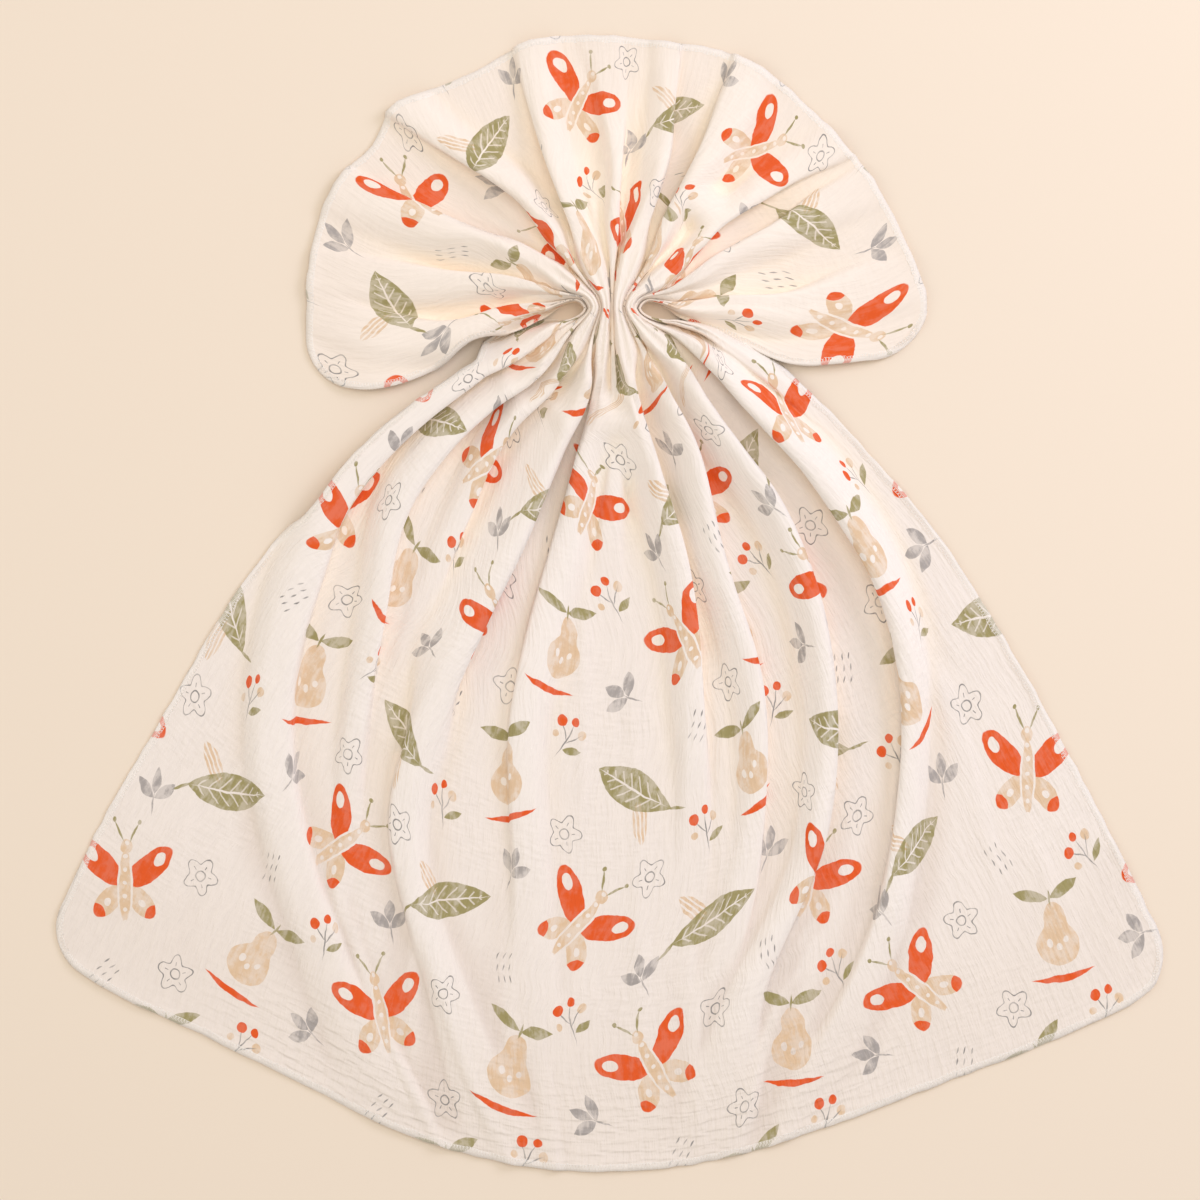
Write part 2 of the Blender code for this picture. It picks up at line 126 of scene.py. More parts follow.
# One main fold for each pleat: how far its crest laps to the right for each millimetre of height, near and
# far out, and at the stations the crest's direction in degrees and the fold's height and its width from
# crest to foot in millimetres.
Fold = namedtuple("Fold", "lean far_lean angles heights widths")
SKIRT_STATIONS = (0.075, 0.150, 0.250, 0.400, 0.550, 0.700, 0.800)
SKIRT_FOLDS = table(
    Fold,
    (0.75, 0.75, (-59, -61, -60, -47.8, -36.5, -24, -16),
     (27, 28, 23, 18, 11, 7, 4), (12, 15, 24, 36, 38, 46, 70)),
    (0.9, 0.3, (-44, -49, -47.6, -35.3, -28, -20.5, -13.5),
     (32, 27, 21, 14, 3, 0, 0), (11, 15, 23, 19, 22, 40, 50)),
    (0.9, 0.0, (-33, -38.5, -35, -30, -26, -17.5, -11),
     (32, 23, 11, 1, 0, 0, 0), (10, 13, 17, 22, 30, 40, 50)),
    (1.3, -0.75, (-17, -20, -21.2, -23.4, -21.9, -12.8, -8),
     (36, 30, 26, 21, 11, 7, 3), (13, 15, 20, 27, 27, 36, 60)),
    (-0.9, -0.75, (-8, -10.5, -11.5, -12.3, -8.5, -6, -4.5),
     (27, 20, 12, 12, 7, 2, 0), (11, 14, 24, 24, 26, 36, 50)),
    (0.0, 0.0, (1, 1, -1, -1, -1, -1, -1.5),
     (23, 13, 3, 0, 0, 0, 0), (10, 13, 20, 30, 40, 50, 60)),
    (0.9, 0.45, (11, 13.2, 14.6, 11.5, 8, 4, 1.5),
     (34, 27, 21, 14, 2, 0, 0), (12, 14, 17, 19, 26, 50, 60)),
    (1.05, 0.9, (28, 28, 23, 20.4, 14.2, 7.5, 4.5),
     (32, 27, 22, 17, 8, 2, 0), (10, 12, 14, 16, 20, 34, 50)),
    (0.9, 0.9, (43, 39.8, 38.5, 30.8, 21.6, 10.3, 7.5),
     (35, 30, 26, 23, 16, 8, 3), (11, 13, 15, 17, 21, 34, 60)),
    (-0.75, -0.75, (60, 53, 49.6, 41.9, 30.9, 20.9, 13),
     (33, 29, 26, 24, 16, 7, 2), (12, 15, 21, 20, 20, 32, 60)),
    (-0.45, 0.0, (71, 65, 60, 50, 42, 33, 24),
     (23, 15, 3, 1, 0, 0, 0), (10, 14, 24, 34, 40, 50, 60)),
)
FAN_STATIONS = (0.060, 0.130, 0.200, 0.272)
FAN_FOLDS = table(
    Fold,
    (0.75, 0.6, (-92, -101, -98, -90), (22, 17, 8, 2), (12, 22, 30, 34)),
    (0.75, 0.75, (-76, -82, -84, -84), (31, 19, 8, 3), (11, 20, 28, 32)),
    (1.2, 1.2, (-58, -63.8, -65.8, -67), (33, 24, 13, 5), (10, 17, 26, 32)),
    (-0.75, 0.45, (-40, -41, -45.5, -47), (35, 27, 15, 9), (10, 13, 20, 28)),
    (-0.75, 0.0, (-24.5, -24, -21, -17.5), (35, 26, 14, 8), (9, 12, 20, 30)),
    (0.3, 0.0, (1, 2, 0, -3), (32, 19, 6, 2), (8, 10, 20, 30)),
    (1.05, 0.9, (19, 20.5, 16.1, 12.5), (35, 26, 13, 6), (9, 11, 15, 20)),
    (-0.75, -0.6, (36, 33, 32, 30), (35, 27, 15, 7), (10, 16, 26, 30)),
    (0.75, 0.75, (57, 53.5, 54, 55), (34, 25, 12, 5), (9, 12, 19, 28)),
    (-0.75, -0.75, (72, 67.5, 66, 65), (31, 20, 10, 4), (10, 15, 24, 30)),
    (-0.75, -0.6, (91, 92, 88, 85), (22, 17, 8, 3), (12, 22, 30, 34)),
)

# How a fold stands: how much of its pleat it fills in the gather, and how round it is, 1 for a soft wave
# and 2 or more for a roll with a broad top and steep walls.
Shape = namedtuple("Shape", "distance fill roundness")
FOLD_SHAPES = table(
    Shape,
    (0, 0.9, 2.4), (0.03, 0.88, 2.4), (0.08, 0.85, 2.2), (0.15, 0.85, 2.1), (0.25, 0.85, 2.2),
    (0.4, 0.85, 2.3), (0.55, 0.85, 2.2), (0.7, 0.85, 1.8), (0.83, 0.85, 1.5),
)
# Where the crests come to lap over, where they lap otherwise, where folds take their own widths, and where
# low pleats are no longer pressed narrow by tall ones.
LAP_GROWS = (0.045, 0.150)
FAR_LEAN_GROWS = (0.36, 0.50)
OWN_WIDTH_GROWS = (0.055, 0.130)
PRESSING_FADES = (0.03, 0.09)
MIDDLING_TALL = 28.5
# The pleats stand on a heap of cloth at the gather, which falls away from it and towards the side edges.
HEAP_HEIGHT = 0.031
HEAP_LENGTH = 0.180
HEAP_SHARES = (0.75, 1.0)
# Where folds meet: the higher this power, the less a low one adds to a high one.
MEETING_POWER = 4.0
LOWEST_FOLD = 0.0005
OUTERMOST_CREST = 0.955
# Close to the gather the top of each fold is drawn into two strands: how deep the line between them is, how
# steep it can be and how wide it is, as a part of the fold.
STRAND_DEPTH = 0.0022
STRAND_STEEPNESS = 0.5
STRAND_WIDTH = 0.42
STRANDS_FADE = (0.05, 0.15)
# The uneven outline of the end hems shows from this part of the length on.
OUTLINE_FROM = 0.1

# Small creases over the main folds: where each starts and ends, as a distance from the gather and a place
# across the cloth from -1 to 1, its height in millimetres and its half width in metres. The lower this
# power, the blunter their ends.
CREASE_ENDS = 0.8
Crease = namedtuple("Crease", "start from_share end to_share height width")
SKIRT_CREASES = table(
    Crease,
    (0.03, -0.85, 0.17, -0.8, 3, 0.006), (0.04, -0.68, 0.21, -0.66, 3.5, 0.006),
    (0.035, -0.5, 0.19, -0.47, 3, 0.005), (0.03, -0.31, 0.16, -0.29, 3.5, 0.006),
    (0.04, -0.1, 0.23, -0.11, 3, 0.006), (0.035, 0.09, 0.2, 0.1, 3, 0.006),
    (0.03, 0.3, 0.18, 0.29, 3.5, 0.006), (0.035, 0.49, 0.21, 0.49, 3, 0.006),
    (0.04, 0.68, 0.19, 0.66, 3, 0.006), (0.18, -0.74, 0.56, -0.6, 2.6, 0.012),
    (0.26, -0.86, 0.64, -0.79, 2.2, 0.016), (0.33, -0.66, 0.76, -0.5, 2.4, 0.018),
    (0.42, -0.45, 0.8, -0.33, 2.2, 0.016), (0.22, -0.09, 0.56, -0.06, 2, 0.013),
    (0.36, 0.06, 0.76, 0.05, 2, 0.016), (0.3, 0.31, 0.62, 0.22, 2.2, 0.013),
    (0.42, 0.46, 0.8, 0.33, 2.4, 0.016), (0.3, 0.86, 0.7, 0.76, 2.6, 0.016),
    (0.52, 0.62, 0.81, 0.54, 2, 0.018), (0.56, -0.2, 0.82, -0.17, 1.8, 0.014),
    (0.56, 0.15, 0.82, 0.14, 1.8, 0.014), (0.6, -0.88, 0.825, -0.82, 2.4, 0.018),
    (0.64, 0.86, 0.825, 0.84, 2.2, 0.018), (0.6, -0.6, 1, -0.04, 3.2, 0.015),
    (0.56, -0.42, 1, 0, 3.2, 0.015), (0.58, -0.17, 1.02, -0.03, 2.6, 0.013),
    (0.56, 0.42, 1, 0.05, 3.2, 0.015), (0.58, 0.64, 1, 0.03, 3.2, 0.017),
)
FAN_CREASES = table(
    Crease,
    (0.025, -0.86, 0.16, -0.86, 2.8, 0.006), (0.03, -0.66, 0.2, -0.68, 3, 0.008),
    (0.025, -0.48, 0.18, -0.48, 3, 0.007), (0.03, -0.3, 0.15, -0.29, 3, 0.006),
    (0.03, -0.1, 0.2, -0.12, 3, 0.008), (0.025, 0.09, 0.17, 0.08, 3, 0.006),
    (0.03, 0.27, 0.2, 0.24, 3, 0.008), (0.03, 0.47, 0.19, 0.44, 3, 0.007),
    (0.025, 0.68, 0.16, 0.66, 3, 0.006), (0.08, 0.86, 0.24, 0.8, 2.4, 0.012),
    (0.09, -0.55, 0.268, -0.58, 2.2, 0.012), (0.1, -0.02, 0.268, -0.03, 2, 0.012),
    (0.09, 0.38, 0.268, 0.36, 2.2, 0.012),
)

# How the folds of a half lie, and the two halves: "forward" is 1 towards the fan, -1 towards the skirt.
Laid = namedtuple("Laid", "crests heights widths leans")
Half = namedtuple("Half", "forward length rows edges hem stations folds creases")
SKIRT = Half(-1, SKIRT_LENGTH, SKIRT_ROWS, SKIRT_EDGES, SKIRT_HEM, SKIRT_STATIONS, SKIRT_FOLDS, SKIRT_CREASES)
FAN = Half(1, FAN_LENGTH, FAN_ROWS, FAN_EDGES, FAN_HEM, FAN_STATIONS, FAN_FOLDS, FAN_CREASES)

# Loose cloth never lies quite flat: how high it rises between the folds, and how large such a rise is. The
# rises are longer than wide.
Puff = namedtuple("Puff", "height size seed")
PUFFS = table(Puff, (0.0013, 0.07, 4), (0.0009, 0.034, 9), (0.0005, 0.016, 15))
PUFF_SQUEEZE = 0.45
PUFFS_GROW = (0.02, 0.12)
PATCH_CELLS = 96
# The sewn edge wavers and curls up: how much, in patches of which size, how wide a strip of the cloth does,
# and from where along the side edges.
Waver = namedtuple("Waver", "amount size seed strip grows")
HEM_FRILL = Waver(0.0009, 0.013, 33, 0.020, (0.08, 0.16))
HEM_CURL = Waver(0.0022, 0.045, 21, 0.012, (0.10, 0.20))

# Slack: how much of it is spread evenly, how far cloth can be drawn in, and where the end hems are left.
EVEN_SHARE = 0.05
LEAST_SPREAD = 0.2
SLACK_GROWS = (CORNER_RADIUS, 2.5 * CORNER_RADIUS)
# Hollows between folds: how far around each point they are looked for and how deep a full one is, close to
# the gather and far out, and where far out is reached.
HOLLOW_REACH = (0.028, 0.045)
HOLLOW_DEPTH = (0.016, 0.005)
FAR_OUT = (0.35, 0.70)
HOLLOW_SAMPLES = 900
# How high the cloth lies where it is in folds.
FOLD_HEIGHTS = (0.003, 0.013)

# The overlocked edge: how far apart its stitches stand, how far in they reach and how thick the thread is.
STITCH_PITCH = 0.0030
STITCH_BITE = 0.0064
THREAD_THICKNESS = 0.00042
STITCH_SEED = 7
# Where a thread is highest, as a part of the bite, and how far it leans there, as a part of half a stitch.
STITCH_TOP = 0.45
STITCH_LEAN = 0.6
STITCH_LENGTHS = (0.86, 1.10)
# In thicknesses of the thread: its height at the top and at the seam, and its start out and down at the edge.
THREAD_TOP = 2.2
THREAD_SEAM = 1.3
THREAD_OUT = -0.9
THREAD_DOWN = -0.6

# The printed repeat, in the flat cloth's metres. Each motif has its places in the repeat and its turns in
# degrees.
REPEAT_WIDTH = 0.30
REPEAT_HEIGHT = 0.40
Place = namedtuple("Place", "x y turn")
BUTTERFLIES = table(Place, (0.05, 0.067, 28), (0.252, 0.202, -34))
STRIPED_LEAVES = table(Place, (0.102, 0.197, 22), (0, 0.33, 152))
PEARS = table(Place, (0.202, 0.063, -14), (0.149, 0.334, 16))
PENCIL_FLOWERS = table(Place, (0.12, 0.112, 10), (0.02, 0.246, 50), (0.229, 0.287, 0), (0.133, 0.014, 30))
GREY_SPROUTS = table(Place, (0.166, 0.245, -20), (0.034, 0.153, 25), (0.28, 0.02, 70))
PENCIL_DASHES = table(Place, (0.183, 0.152, 12), (0.068, 0.382, -20))
BERRY_SPRIGS = table(Place, (0.266, 0.112, 18), (0.219, 0.378, -25), (0.081, 0.283, 8))

# Colours of the inks, and how much of the cloth they hide where the print is weak and where it is strong.
Ink = namedtuple("Ink", "colour weak strong")
INKS = {
    "tan": Ink((0.760, 0.530, 0.330), 0.45, 0.92),
    "olive": Ink((0.345, 0.292, 0.118), 0.60, 0.98),
    "grey": Ink((0.390, 0.350, 0.330), 0.42, 0.95),
    "pencil": Ink((0.270, 0.250, 0.235), 0.55, 1.0),
    "red": Ink((0.800, 0.100, 0.010), 0.90, 0.99),
}
# How soft the edge of a printed shape is, where in its noise the print is weak and strong, and the scale,
# detail and roughness of that noise.
INK_EDGE = 0.00035
WASH_RANGE = (0.55, 1.02)
WASH_NOISE = (55.0, 4.0, 0.65)
# The printed lines waver by so much, in patches of this fineness.
PRINT_WAVER = 0.0030
PRINT_WAVER_SCALE = 70.0

# Noise in the gauze and the print: how far it is drawn out across and along, how fine it is, its detail and
# its roughness.
Grain = namedtuple("Grain", "across along scale detail rough")
STREAKS = Grain(1.0, 7.0, 230.0, 2.0, 0.55)
THREADS = Grain(1.0, 3.5, 620.0, 1.0, 0.5)
CROSS_LINES = Grain(4.0, 1.0, 200.0, 1.0, 0.5)
BRUSH_STREAKS = Grain(1.0, 5.0, 170.0, 2.0, 0.6)
# How strong the cross lines are outside and inside their patches, where such a patch starts and is complete
# in its noise, how fine that noise is, and how strong the fine threads and brush streaks are.
CROSS_STRENGTHS = (0.15, 0.65)
CROSS_PATCHES = (0.46, 0.62)
CROSS_PATCH_SCALE = 8.0
THREAD_STRENGTH = 0.22
BRUSH_STRENGTH = 0.6
# The bottom hem is drawn in: close ripples between these places along and across the flat cloth. They wander
# with the cross lines, and their relief is stronger than their painted shade by a factor.
RIPPLE_PITCH = 0.0105
RIPPLE_STRENGTH = 0.07
RIPPLE_WANDER = 5.0
RIPPLE_RELIEF = 2.0
RIPPLES_ALONG = (-0.700, -0.790)
RIPPLES_ACROSS = (0.46, 0.26)
RIPPLE_MIDDLE = -0.05
# The relief of the crinkle, and how much of it is left in the upper skirt and the fan.
CRINKLE_DEPTH = 0.0016
CRINKLE_STRENGTH = 0.68
CRINKLE_IN_FAN = 0.55
CRINKLE_FADES = (-0.45, -0.10)

# The gauze where it lies in one layer and where more layers show through it. It is lighter where it stands
# higher in folds, partly from the layers and partly as painted light on the raised folds. Its crinkle gets
# painted shade in its valleys.
IVORY_SINGLE = (0.908, 0.813, 0.740)
IVORY_LAYERED_AND_LIT = (0.940, 0.854, 0.786)
IVORY_MOST = (0.990, 0.975, 0.965)
CRINKLE_SHADE = 0.977
CRINKLE_RANGE = (0.36, 0.64)
# Painted light and shade in the hollows between folds, as factors on the gauze's red, green and blue:
# painted light in those of middling depth and in the deepest, and painted shade in the low ones far out.
HOLLOW_PAINTED_LIGHT = (1.06, 1.035, 0.960)
DEEP_HOLLOW_PAINTED_LIGHT = (1.09, 1.06, 1.00)
LOW_HOLLOW_PAINTED_SHADE = (0.905, 0.880, 0.865)
LOW_HOLLOW_SHADE_GROWS = (-0.32, -0.72)
# At the gather and in the fan the gauze lies in more layers and looks creamier.
CLOSE_TONE = (1.01, 0.985, 0.945)
CLOSE_TONE_GROWS = (-0.200, -0.030)
# Near the bottom hem, where it is drawn in a little, the gauze gets painted shade and looks darker.
BOTTOM_PAINTED_SHADE = (0.970, 0.960, 0.945)
BOTTOM_PAINTED_SHADE_GROWS = (-0.640, -0.780)
# The sewn strip along the edge: its colour, how strong that is and where the strip ends.
SEWN_TONE = (0.93, 0.87, 0.81)
SEWN_STRENGTH = 0.38
SEWN_STRIP = (0.0058, 0.0070)
UNCHANGED = (1.0, 1.0, 1.0)
THREAD_COLOUR = (0.955, 0.905, 0.845, 1.0)

# The room: its floor, its even light and how strong that is.
FLOOR_REACH = 9.0
FLOOR_COLOUR = (0.880, 0.750, 0.612, 1.0)
ROOM_COLOUR = (1.0, 0.968, 0.918, 1.0)
ROOM_LIGHT = 0.60

# The camera looks straight down.
CAMERA_PLACE = (-0.0095, 0.0034, 3.5)
VIEW_WIDTH = 1.164


# ---- the laid-out cloth -----------------------------------------------------------------------------


def smooth_curve(at, values, x):
    """A smooth line through the values given at the places in `at`."""
    at = np.asarray(at, float)
    values = np.asarray(values, float)
    slopes = np.gradient(values, at)
    k = np.clip(np.searchsorted(at, x, side="right") - 1, 0, len(at) - 2)
    step = at[k + 1] - at[k]
    f = np.clip((x - at[k]) / step, 0.0, 1.0)
    rise = values[k + 1] - values[k]
    blend = f * f * (3 - 2 * f)
    start = f * (1 - f) ** 2 * slopes[k] * step
    end = f * f * (f - 1) * slopes[k + 1] * step
    return values[k] + rise * blend + start + end


def ramp(x, low, high):
    """Rises smoothly from 0 at low to 1 at high."""
    f = np.clip((x - low) / (high - low), 0.0, 1.0)
    return f * f * (3 - 2 * f)


def bell(x):
    """Falls from 1 where x is 0 to 0 where it is 1, round at both ends."""
    return np.cos(np.pi / 2 * x) ** 2


def mixed(pair, part):
    return pair[0] + (pair[1] - pair[0]) * part


def column(rows, name):
    """One named column of a table."""
    return np.array([getattr(row, name) for row in rows])


def from_side(share):
    """How far a share across the cloth lies from its side edge."""
    return (1 - np.abs(share)) * CLOTH_WIDTH / 2


def edge_angle(half, distance, share=1.0):
    """How far a side edge has turned at this distance, in radians: the left one where share is negative."""
    at = column(half.edges, "distance")
    left = smooth_curve(at, column(half.edges, "left"), distance)
    right = smooth_curve(at, column(half.edges, "right"), distance)
    return np.radians(np.where(share < 0, left, right))


def half_arc(half, distance, share=1.0):
    """How wide the cloth lies from its middle line to a side edge."""
    return GATHER_HALF_WIDTH + distance * edge_angle(half, distance, share)


def fold_shape(name, distance):
    return smooth_curve(column(FOLD_SHAPES, "distance"), column(FOLD_SHAPES, name), distance)


def folds_at(half, distance):
    """Crests, heights, widths and leans of the folds at each distance, one column for each fold. A fold
    stands beside its crest, as far from it as it laps over."""
    arc = half_arc(half, distance)
    far = ramp(distance, *FAR_LEAN_GROWS)
    lapped = ramp(distance, *LAP_GROWS)
    within = np.clip(distance, half.stations[0], half.stations[-1])
    end = (half.length,) if half.length > half.stations[-1] else ()
    columns = []
    for pleat, fold in zip(PLEATS, half.folds):
        angles = np.radians(fold.angles)
        turned = angles / edge_angle(half, np.array(half.stations), angles)
        crest = smooth_curve((0.0, *half.stations), (pleat.place, *turned), distance)
        known = (pleat.tall, *fold.heights, *(0.0 for _ in end))
        height = np.maximum(0.001 * smooth_curve((0.0, *half.stations, *end), known, distance), 0.0)
        lean = lapped * (fold.lean * (1 - far) + fold.far_lean * far)
        crest = np.clip(crest - lean * height / arc, -OUTERMOST_CREST, OUTERMOST_CREST)
        width = 0.001 * smooth_curve(half.stations, fold.widths, within)
        columns.append((crest, height, width, lean))
    return Laid(*(np.stack(column, axis=-1) for column in zip(*columns)))


def share_to_foot(gap, width, tall, arc, distance):
    """How much of the cloth's half width lies between a crest and its foot: a part of the room between two
    pleats close to the gather, where tall ones spread over low ones, and the fold's own width farther out."""
    pressed = (tall / MIDDLING_TALL) ** 3
    pressed = pressed + (1 - pressed) * ramp(distance, *PRESSING_FADES)
    own = ramp(distance, *OWN_WIDTH_GROWS)
    return gap * fold_shape("fill", distance) * pressed * (1 - own) + width / arc * own


def places_from_crest(reach, count):
    """Where `count` mesh columns lie between a crest (0) and the line midway to the next one (1), closer
    together on the fold's wall. Its foot is at `reach`. One array for each."""
    top = WALL_PART[0] * np.minimum(reach, 1.0)
    bottom = np.clip(WALL_PART[1] * reach, 0.05, 0.95)
    wall = WALL_FINENESS * (bottom - top)
    whole = top + wall + 1 - bottom
    places = []
    for n in range(count):
        at = n / count * whole
        on_wall = top + (at - top) / WALL_FINENESS
        on_flat = bottom + at - top - wall
        places.append(np.where(at < top, at, np.where(at < top + wall, on_wall, on_flat)))
    return [*places, np.ones_like(reach)]


def column_shares(half, laid, distance):
    """Mesh columns across the cloth: on the folds' crests and feet, and close together at both edges."""
    corner = ramp(distance, half.length - 3 * CORNER_RADIUS, half.length - CORNER_RADIUS)
    edge = 1 - EDGE_STRIP - corner * (CORNER_RADIUS / (CLOTH_WIDTH / 2) - EDGE_STRIP)
    midway = (laid.crests[:, 1:] + laid.crests[:, :-1]) / 2
    arc = half_arc(half, distance)
    edge_columns = [1 - (1 - edge) * n / COLUMNS_IN_EDGE for n in range(COLUMNS_IN_EDGE)]
    columns = [-column for column in edge_columns]
    for k, pleat in enumerate(PLEATS):
        crest = laid.crests[:, k]
        left = midway[:, k - 1] if k > 0 else -edge
        right = midway[:, k] if k < midway.shape[1] else edge
        at_ends = (k == 0, k == midway.shape[1])
        counts = [COLUMNS_BESIDE if at_end else COLUMNS_IN_HALF_PLEAT for at_end in at_ends]
        parts = []
        for gap, count in zip((crest - left, right - crest), counts):
            foot = share_to_foot(gap, laid.widths[:, k], pleat.tall, arc, distance)
            parts.append(places_from_crest(foot / gap, count))
        columns += [crest - (crest - left) * part for part in parts[0][:0:-1]]
        columns += [crest + (right - crest) * part for part in parts[1][:-1]]
    return np.stack([*columns, edge, *edge_columns[::-1]], axis=1)


def rounded_corner(share, distance, length):
    """Draws the grid in at the two outer corners, so that they are round."""
    side = CLOTH_WIDTH / 2
    beside = np.clip(1 - (side - np.abs(share) * side) / CORNER_RADIUS, 0.0, 1.0)
    along = np.clip(1 - (length - distance) / CORNER_RADIUS, 0.0, 1.0)
    new_beside = beside * np.sqrt(1 - along ** 2 / 2)
    new_along = along * np.sqrt(1 - beside ** 2 / 2)
    share = np.sign(share) * (np.abs(share) - (beside - new_beside) * CORNER_RADIUS / side)
    distance = distance - (along - new_along) * CORNER_RADIUS
    return share, distance


def fold_relief(laid, share, distance, arc):
    """Height of the cloth and how far it laps sideways, from all the folds together."""
    crests = laid.crests
    ends = np.concatenate([-2 - crests[..., :1], crests, 2 - crests[..., -1:]], axis=-1)
    gaps = np.diff(ends, axis=-1) / 2
    roundness = fold_shape("roundness", distance)
    power = MEETING_POWER
    heap = HEAP_HEIGHT * (1 - ramp(distance, 0.0, HEAP_LENGTH)) * (1 - ramp(np.abs(share), *HEAP_SHARES))
    total = heap ** power + LOWEST_FOLD ** power
    strands = STRAND_DEPTH * (1 - ramp(distance, *STRANDS_FADE))
    lap = np.zeros_like(share)
    for k, pleat in enumerate(PLEATS):
        offset = share - crests[..., k]
        gap = np.where(offset < 0, gaps[..., k], gaps[..., k + 1])
        foot = share_to_foot(gap, laid.widths[..., k], pleat.tall, arc, distance)
        from_crest = np.clip(np.abs(offset) / foot, 0.0, 1.0)
        bump = laid.heights[..., k] * bell(from_crest ** roundness)
        line = bell(np.clip(from_crest / STRAND_WIDTH, 0.0, 1.0))
        bump = np.maximum(bump - line * np.minimum(strands, STRAND_STEEPNESS * foot * arc), 0.0)
        total = total + bump ** power
        lap += bump ** power * laid.leans[..., k]
    height = total ** (1 / power)
    return np.maximum(height - 1.01 * LOWEST_FOLD, 0.0), height * lap / total


def small_creases(half, share, distance, arc):
    """Height of the small creases over the main folds."""
    height = np.zeros_like(share)
    for crease in half.creases:
        part = np.clip((distance - crease.start) / (crease.end - crease.start), 0.0, 1.0)
        line = mixed((crease.from_share, crease.to_share), part)
        away = np.clip(np.abs(share - line) * arc / crease.width, 0.0, 1.0)
        height += 0.001 * crease.height * np.sin(np.pi * part) ** CREASE_ENDS * bell(away)
    return height


def patches(x, y, size, seed):
    """Smooth uneven values from 0 to 1, in patches of this size."""
    lattice = np.random.default_rng(seed).uniform(0.0, 1.0, (PATCH_CELLS + 1, PATCH_CELLS + 1))
    across = x / size + PATCH_CELLS / 2
    along = y / size + PATCH_CELLS / 2
    i = np.floor(across).astype(int) % PATCH_CELLS
    j = np.floor(along).astype(int) % PATCH_CELLS
    f = ramp(across - np.floor(across), 0.0, 1.0)
    g = ramp(along - np.floor(along), 0.0, 1.0)
    low = lattice[i, j] * (1 - f) + lattice[i + 1, j] * f
    high = lattice[i, j + 1] * (1 - f) + lattice[i + 1, j + 1] * f
    return low * (1 - g) + high * g


def puffs(half, share, distance):
    """The gentle rise of loose cloth between its folds."""
    across = share * CLOTH_WIDTH / 2
    along = half.forward * distance
    height = np.zeros_like(share)
    for puff in PUFFS:
        height += puff.height * patches(across, along * PUFF_SQUEEZE, puff.size, puff.seed)
    return height * ramp(distance, *PUFFS_GROW)


def uneven_edge(waver, half, share, distance):
    """Uneven values from 0 to 1 for how an edge wavers."""
    return patches(share * CLOTH_WIDTH / 2, half.forward * distance, waver.size, waver.seed)


def hem_frill(half, share, distance):
    """How the sewn edge wavers, outwards along the cloth and aside, in metres."""
    uneven = 2 * uneven_edge(HEM_FRILL, half, share, distance) - 1
    uneven = HEM_FRILL.amount * uneven * ramp(distance, *HEM_FRILL.grows)
    out = uneven * (1 - ramp(half.length - distance, 0.0, HEM_FRILL.strip))
    aside = np.sign(share) * uneven * (1 - ramp(from_side(share), 0.0, HEM_FRILL.strip))
    return out, aside


def hem_curl(half, share, distance):
    """How the sewn edge stands up a little here and there."""
    near = 1 - ramp(np.minimum(from_side(share), half.length - distance), 0.0, HEM_CURL.strip)
    uneven = uneven_edge(HEM_CURL, half, share, distance)
    return HEM_CURL.amount * near * uneven * ramp(distance, *HEM_CURL.grows)


def edge_lift(half, share, distance):
    """How far the fan's side edges lie over the skirt's."""
    if half.forward < 0:
        return 0.0
    beside = ramp(np.abs(share), *EDGE_LIFT_SHARES)
    return EDGE_LIFT * beside * ramp(distance, *EDGE_LIFT_GROWS) * (1 - ramp(distance, *EDGE_LIFT_FADES))


def lay_out(half, laid, share, distance):
    """Points of the cloth's middle surface."""
    angle = share * edge_angle(half, distance, share)
    reach = smooth_curve(column(half.hem, "direction"), column(half.hem, "distance"), np.degrees(angle))
    far = ramp(distance, OUTLINE_FROM * half.length, half.length)
    out, aside = hem_frill(half, share, distance)
    radius = distance * (1 + far * (reach / half.length - 1)) + out
    arc = half_arc(half, distance, share)
    height, lap = fold_relief(laid, share, distance, arc)
    lap = lap + aside
    offset = GATHER_HALF_WIDTH * share / (1 + (distance / GATHER_SPREAD) ** 2)
    x = offset + radius * np.sin(angle) + lap * np.cos(angle)
    y = half.forward * (radius * np.cos(angle) - lap * np.sin(angle))
    y = y - GATHER_SAG * (1 - ramp(distance, *SAG_FADES))
    height = height + edge_lift(half, share, distance)
    height = height + small_creases(half, share, distance, arc) + puffs(half, share, distance)
    height = height + hem_curl(half, share, distance)
    return np.stack([x + GATHER_PLACE[0], y + GATHER_PLACE[1], height + CLOTH_THICKNESS / 2], axis=-1)


def hollows(points, flat):
    """How deep each point lies in a hollow between folds, from 0 to 1, from the heights across the cloth."""
    steps = np.diff(points[..., :2], axis=1, prepend=points[:, :1, :2])
    across = np.cumsum(np.linalg.norm(steps, axis=-1), axis=1)
    far_out = ramp(-flat[:, flat.shape[1] // 2, 1], *FAR_OUT)
    depth = np.zeros(across.shape)
    for row, (at, height) in enumerate(zip(across, points[..., 2])):
        reach = mixed(HOLLOW_REACH, far_out[row])
        walked = np.linspace(at[0] - reach, at[-1] + reach, HOLLOW_SAMPLES)
        summed = np.cumsum(np.interp(walked, at, height)) * (walked[1] - walked[0])
        around = np.interp(at + reach, walked, summed) - np.interp(at - reach, walked, summed)
        depth[row] = (around / (2 * reach) - height) / mixed(HOLLOW_DEPTH, far_out[row])
    return np.clip(depth, 0.0, 1.0)


def from_hem(share, distance, length):
    """How far each point lies from the cloth's edge, measured on the flat cloth."""
    beside = from_side(share)
    along = length - distance
    corner = np.hypot(np.maximum(CORNER_RADIUS - beside, 0), np.maximum(CORNER_RADIUS - along, 0))
    in_corner = (beside < CORNER_RADIUS) & (along < CORNER_RADIUS)
    return np.where(in_corner, CORNER_RADIUS - corner, np.minimum(beside, along))


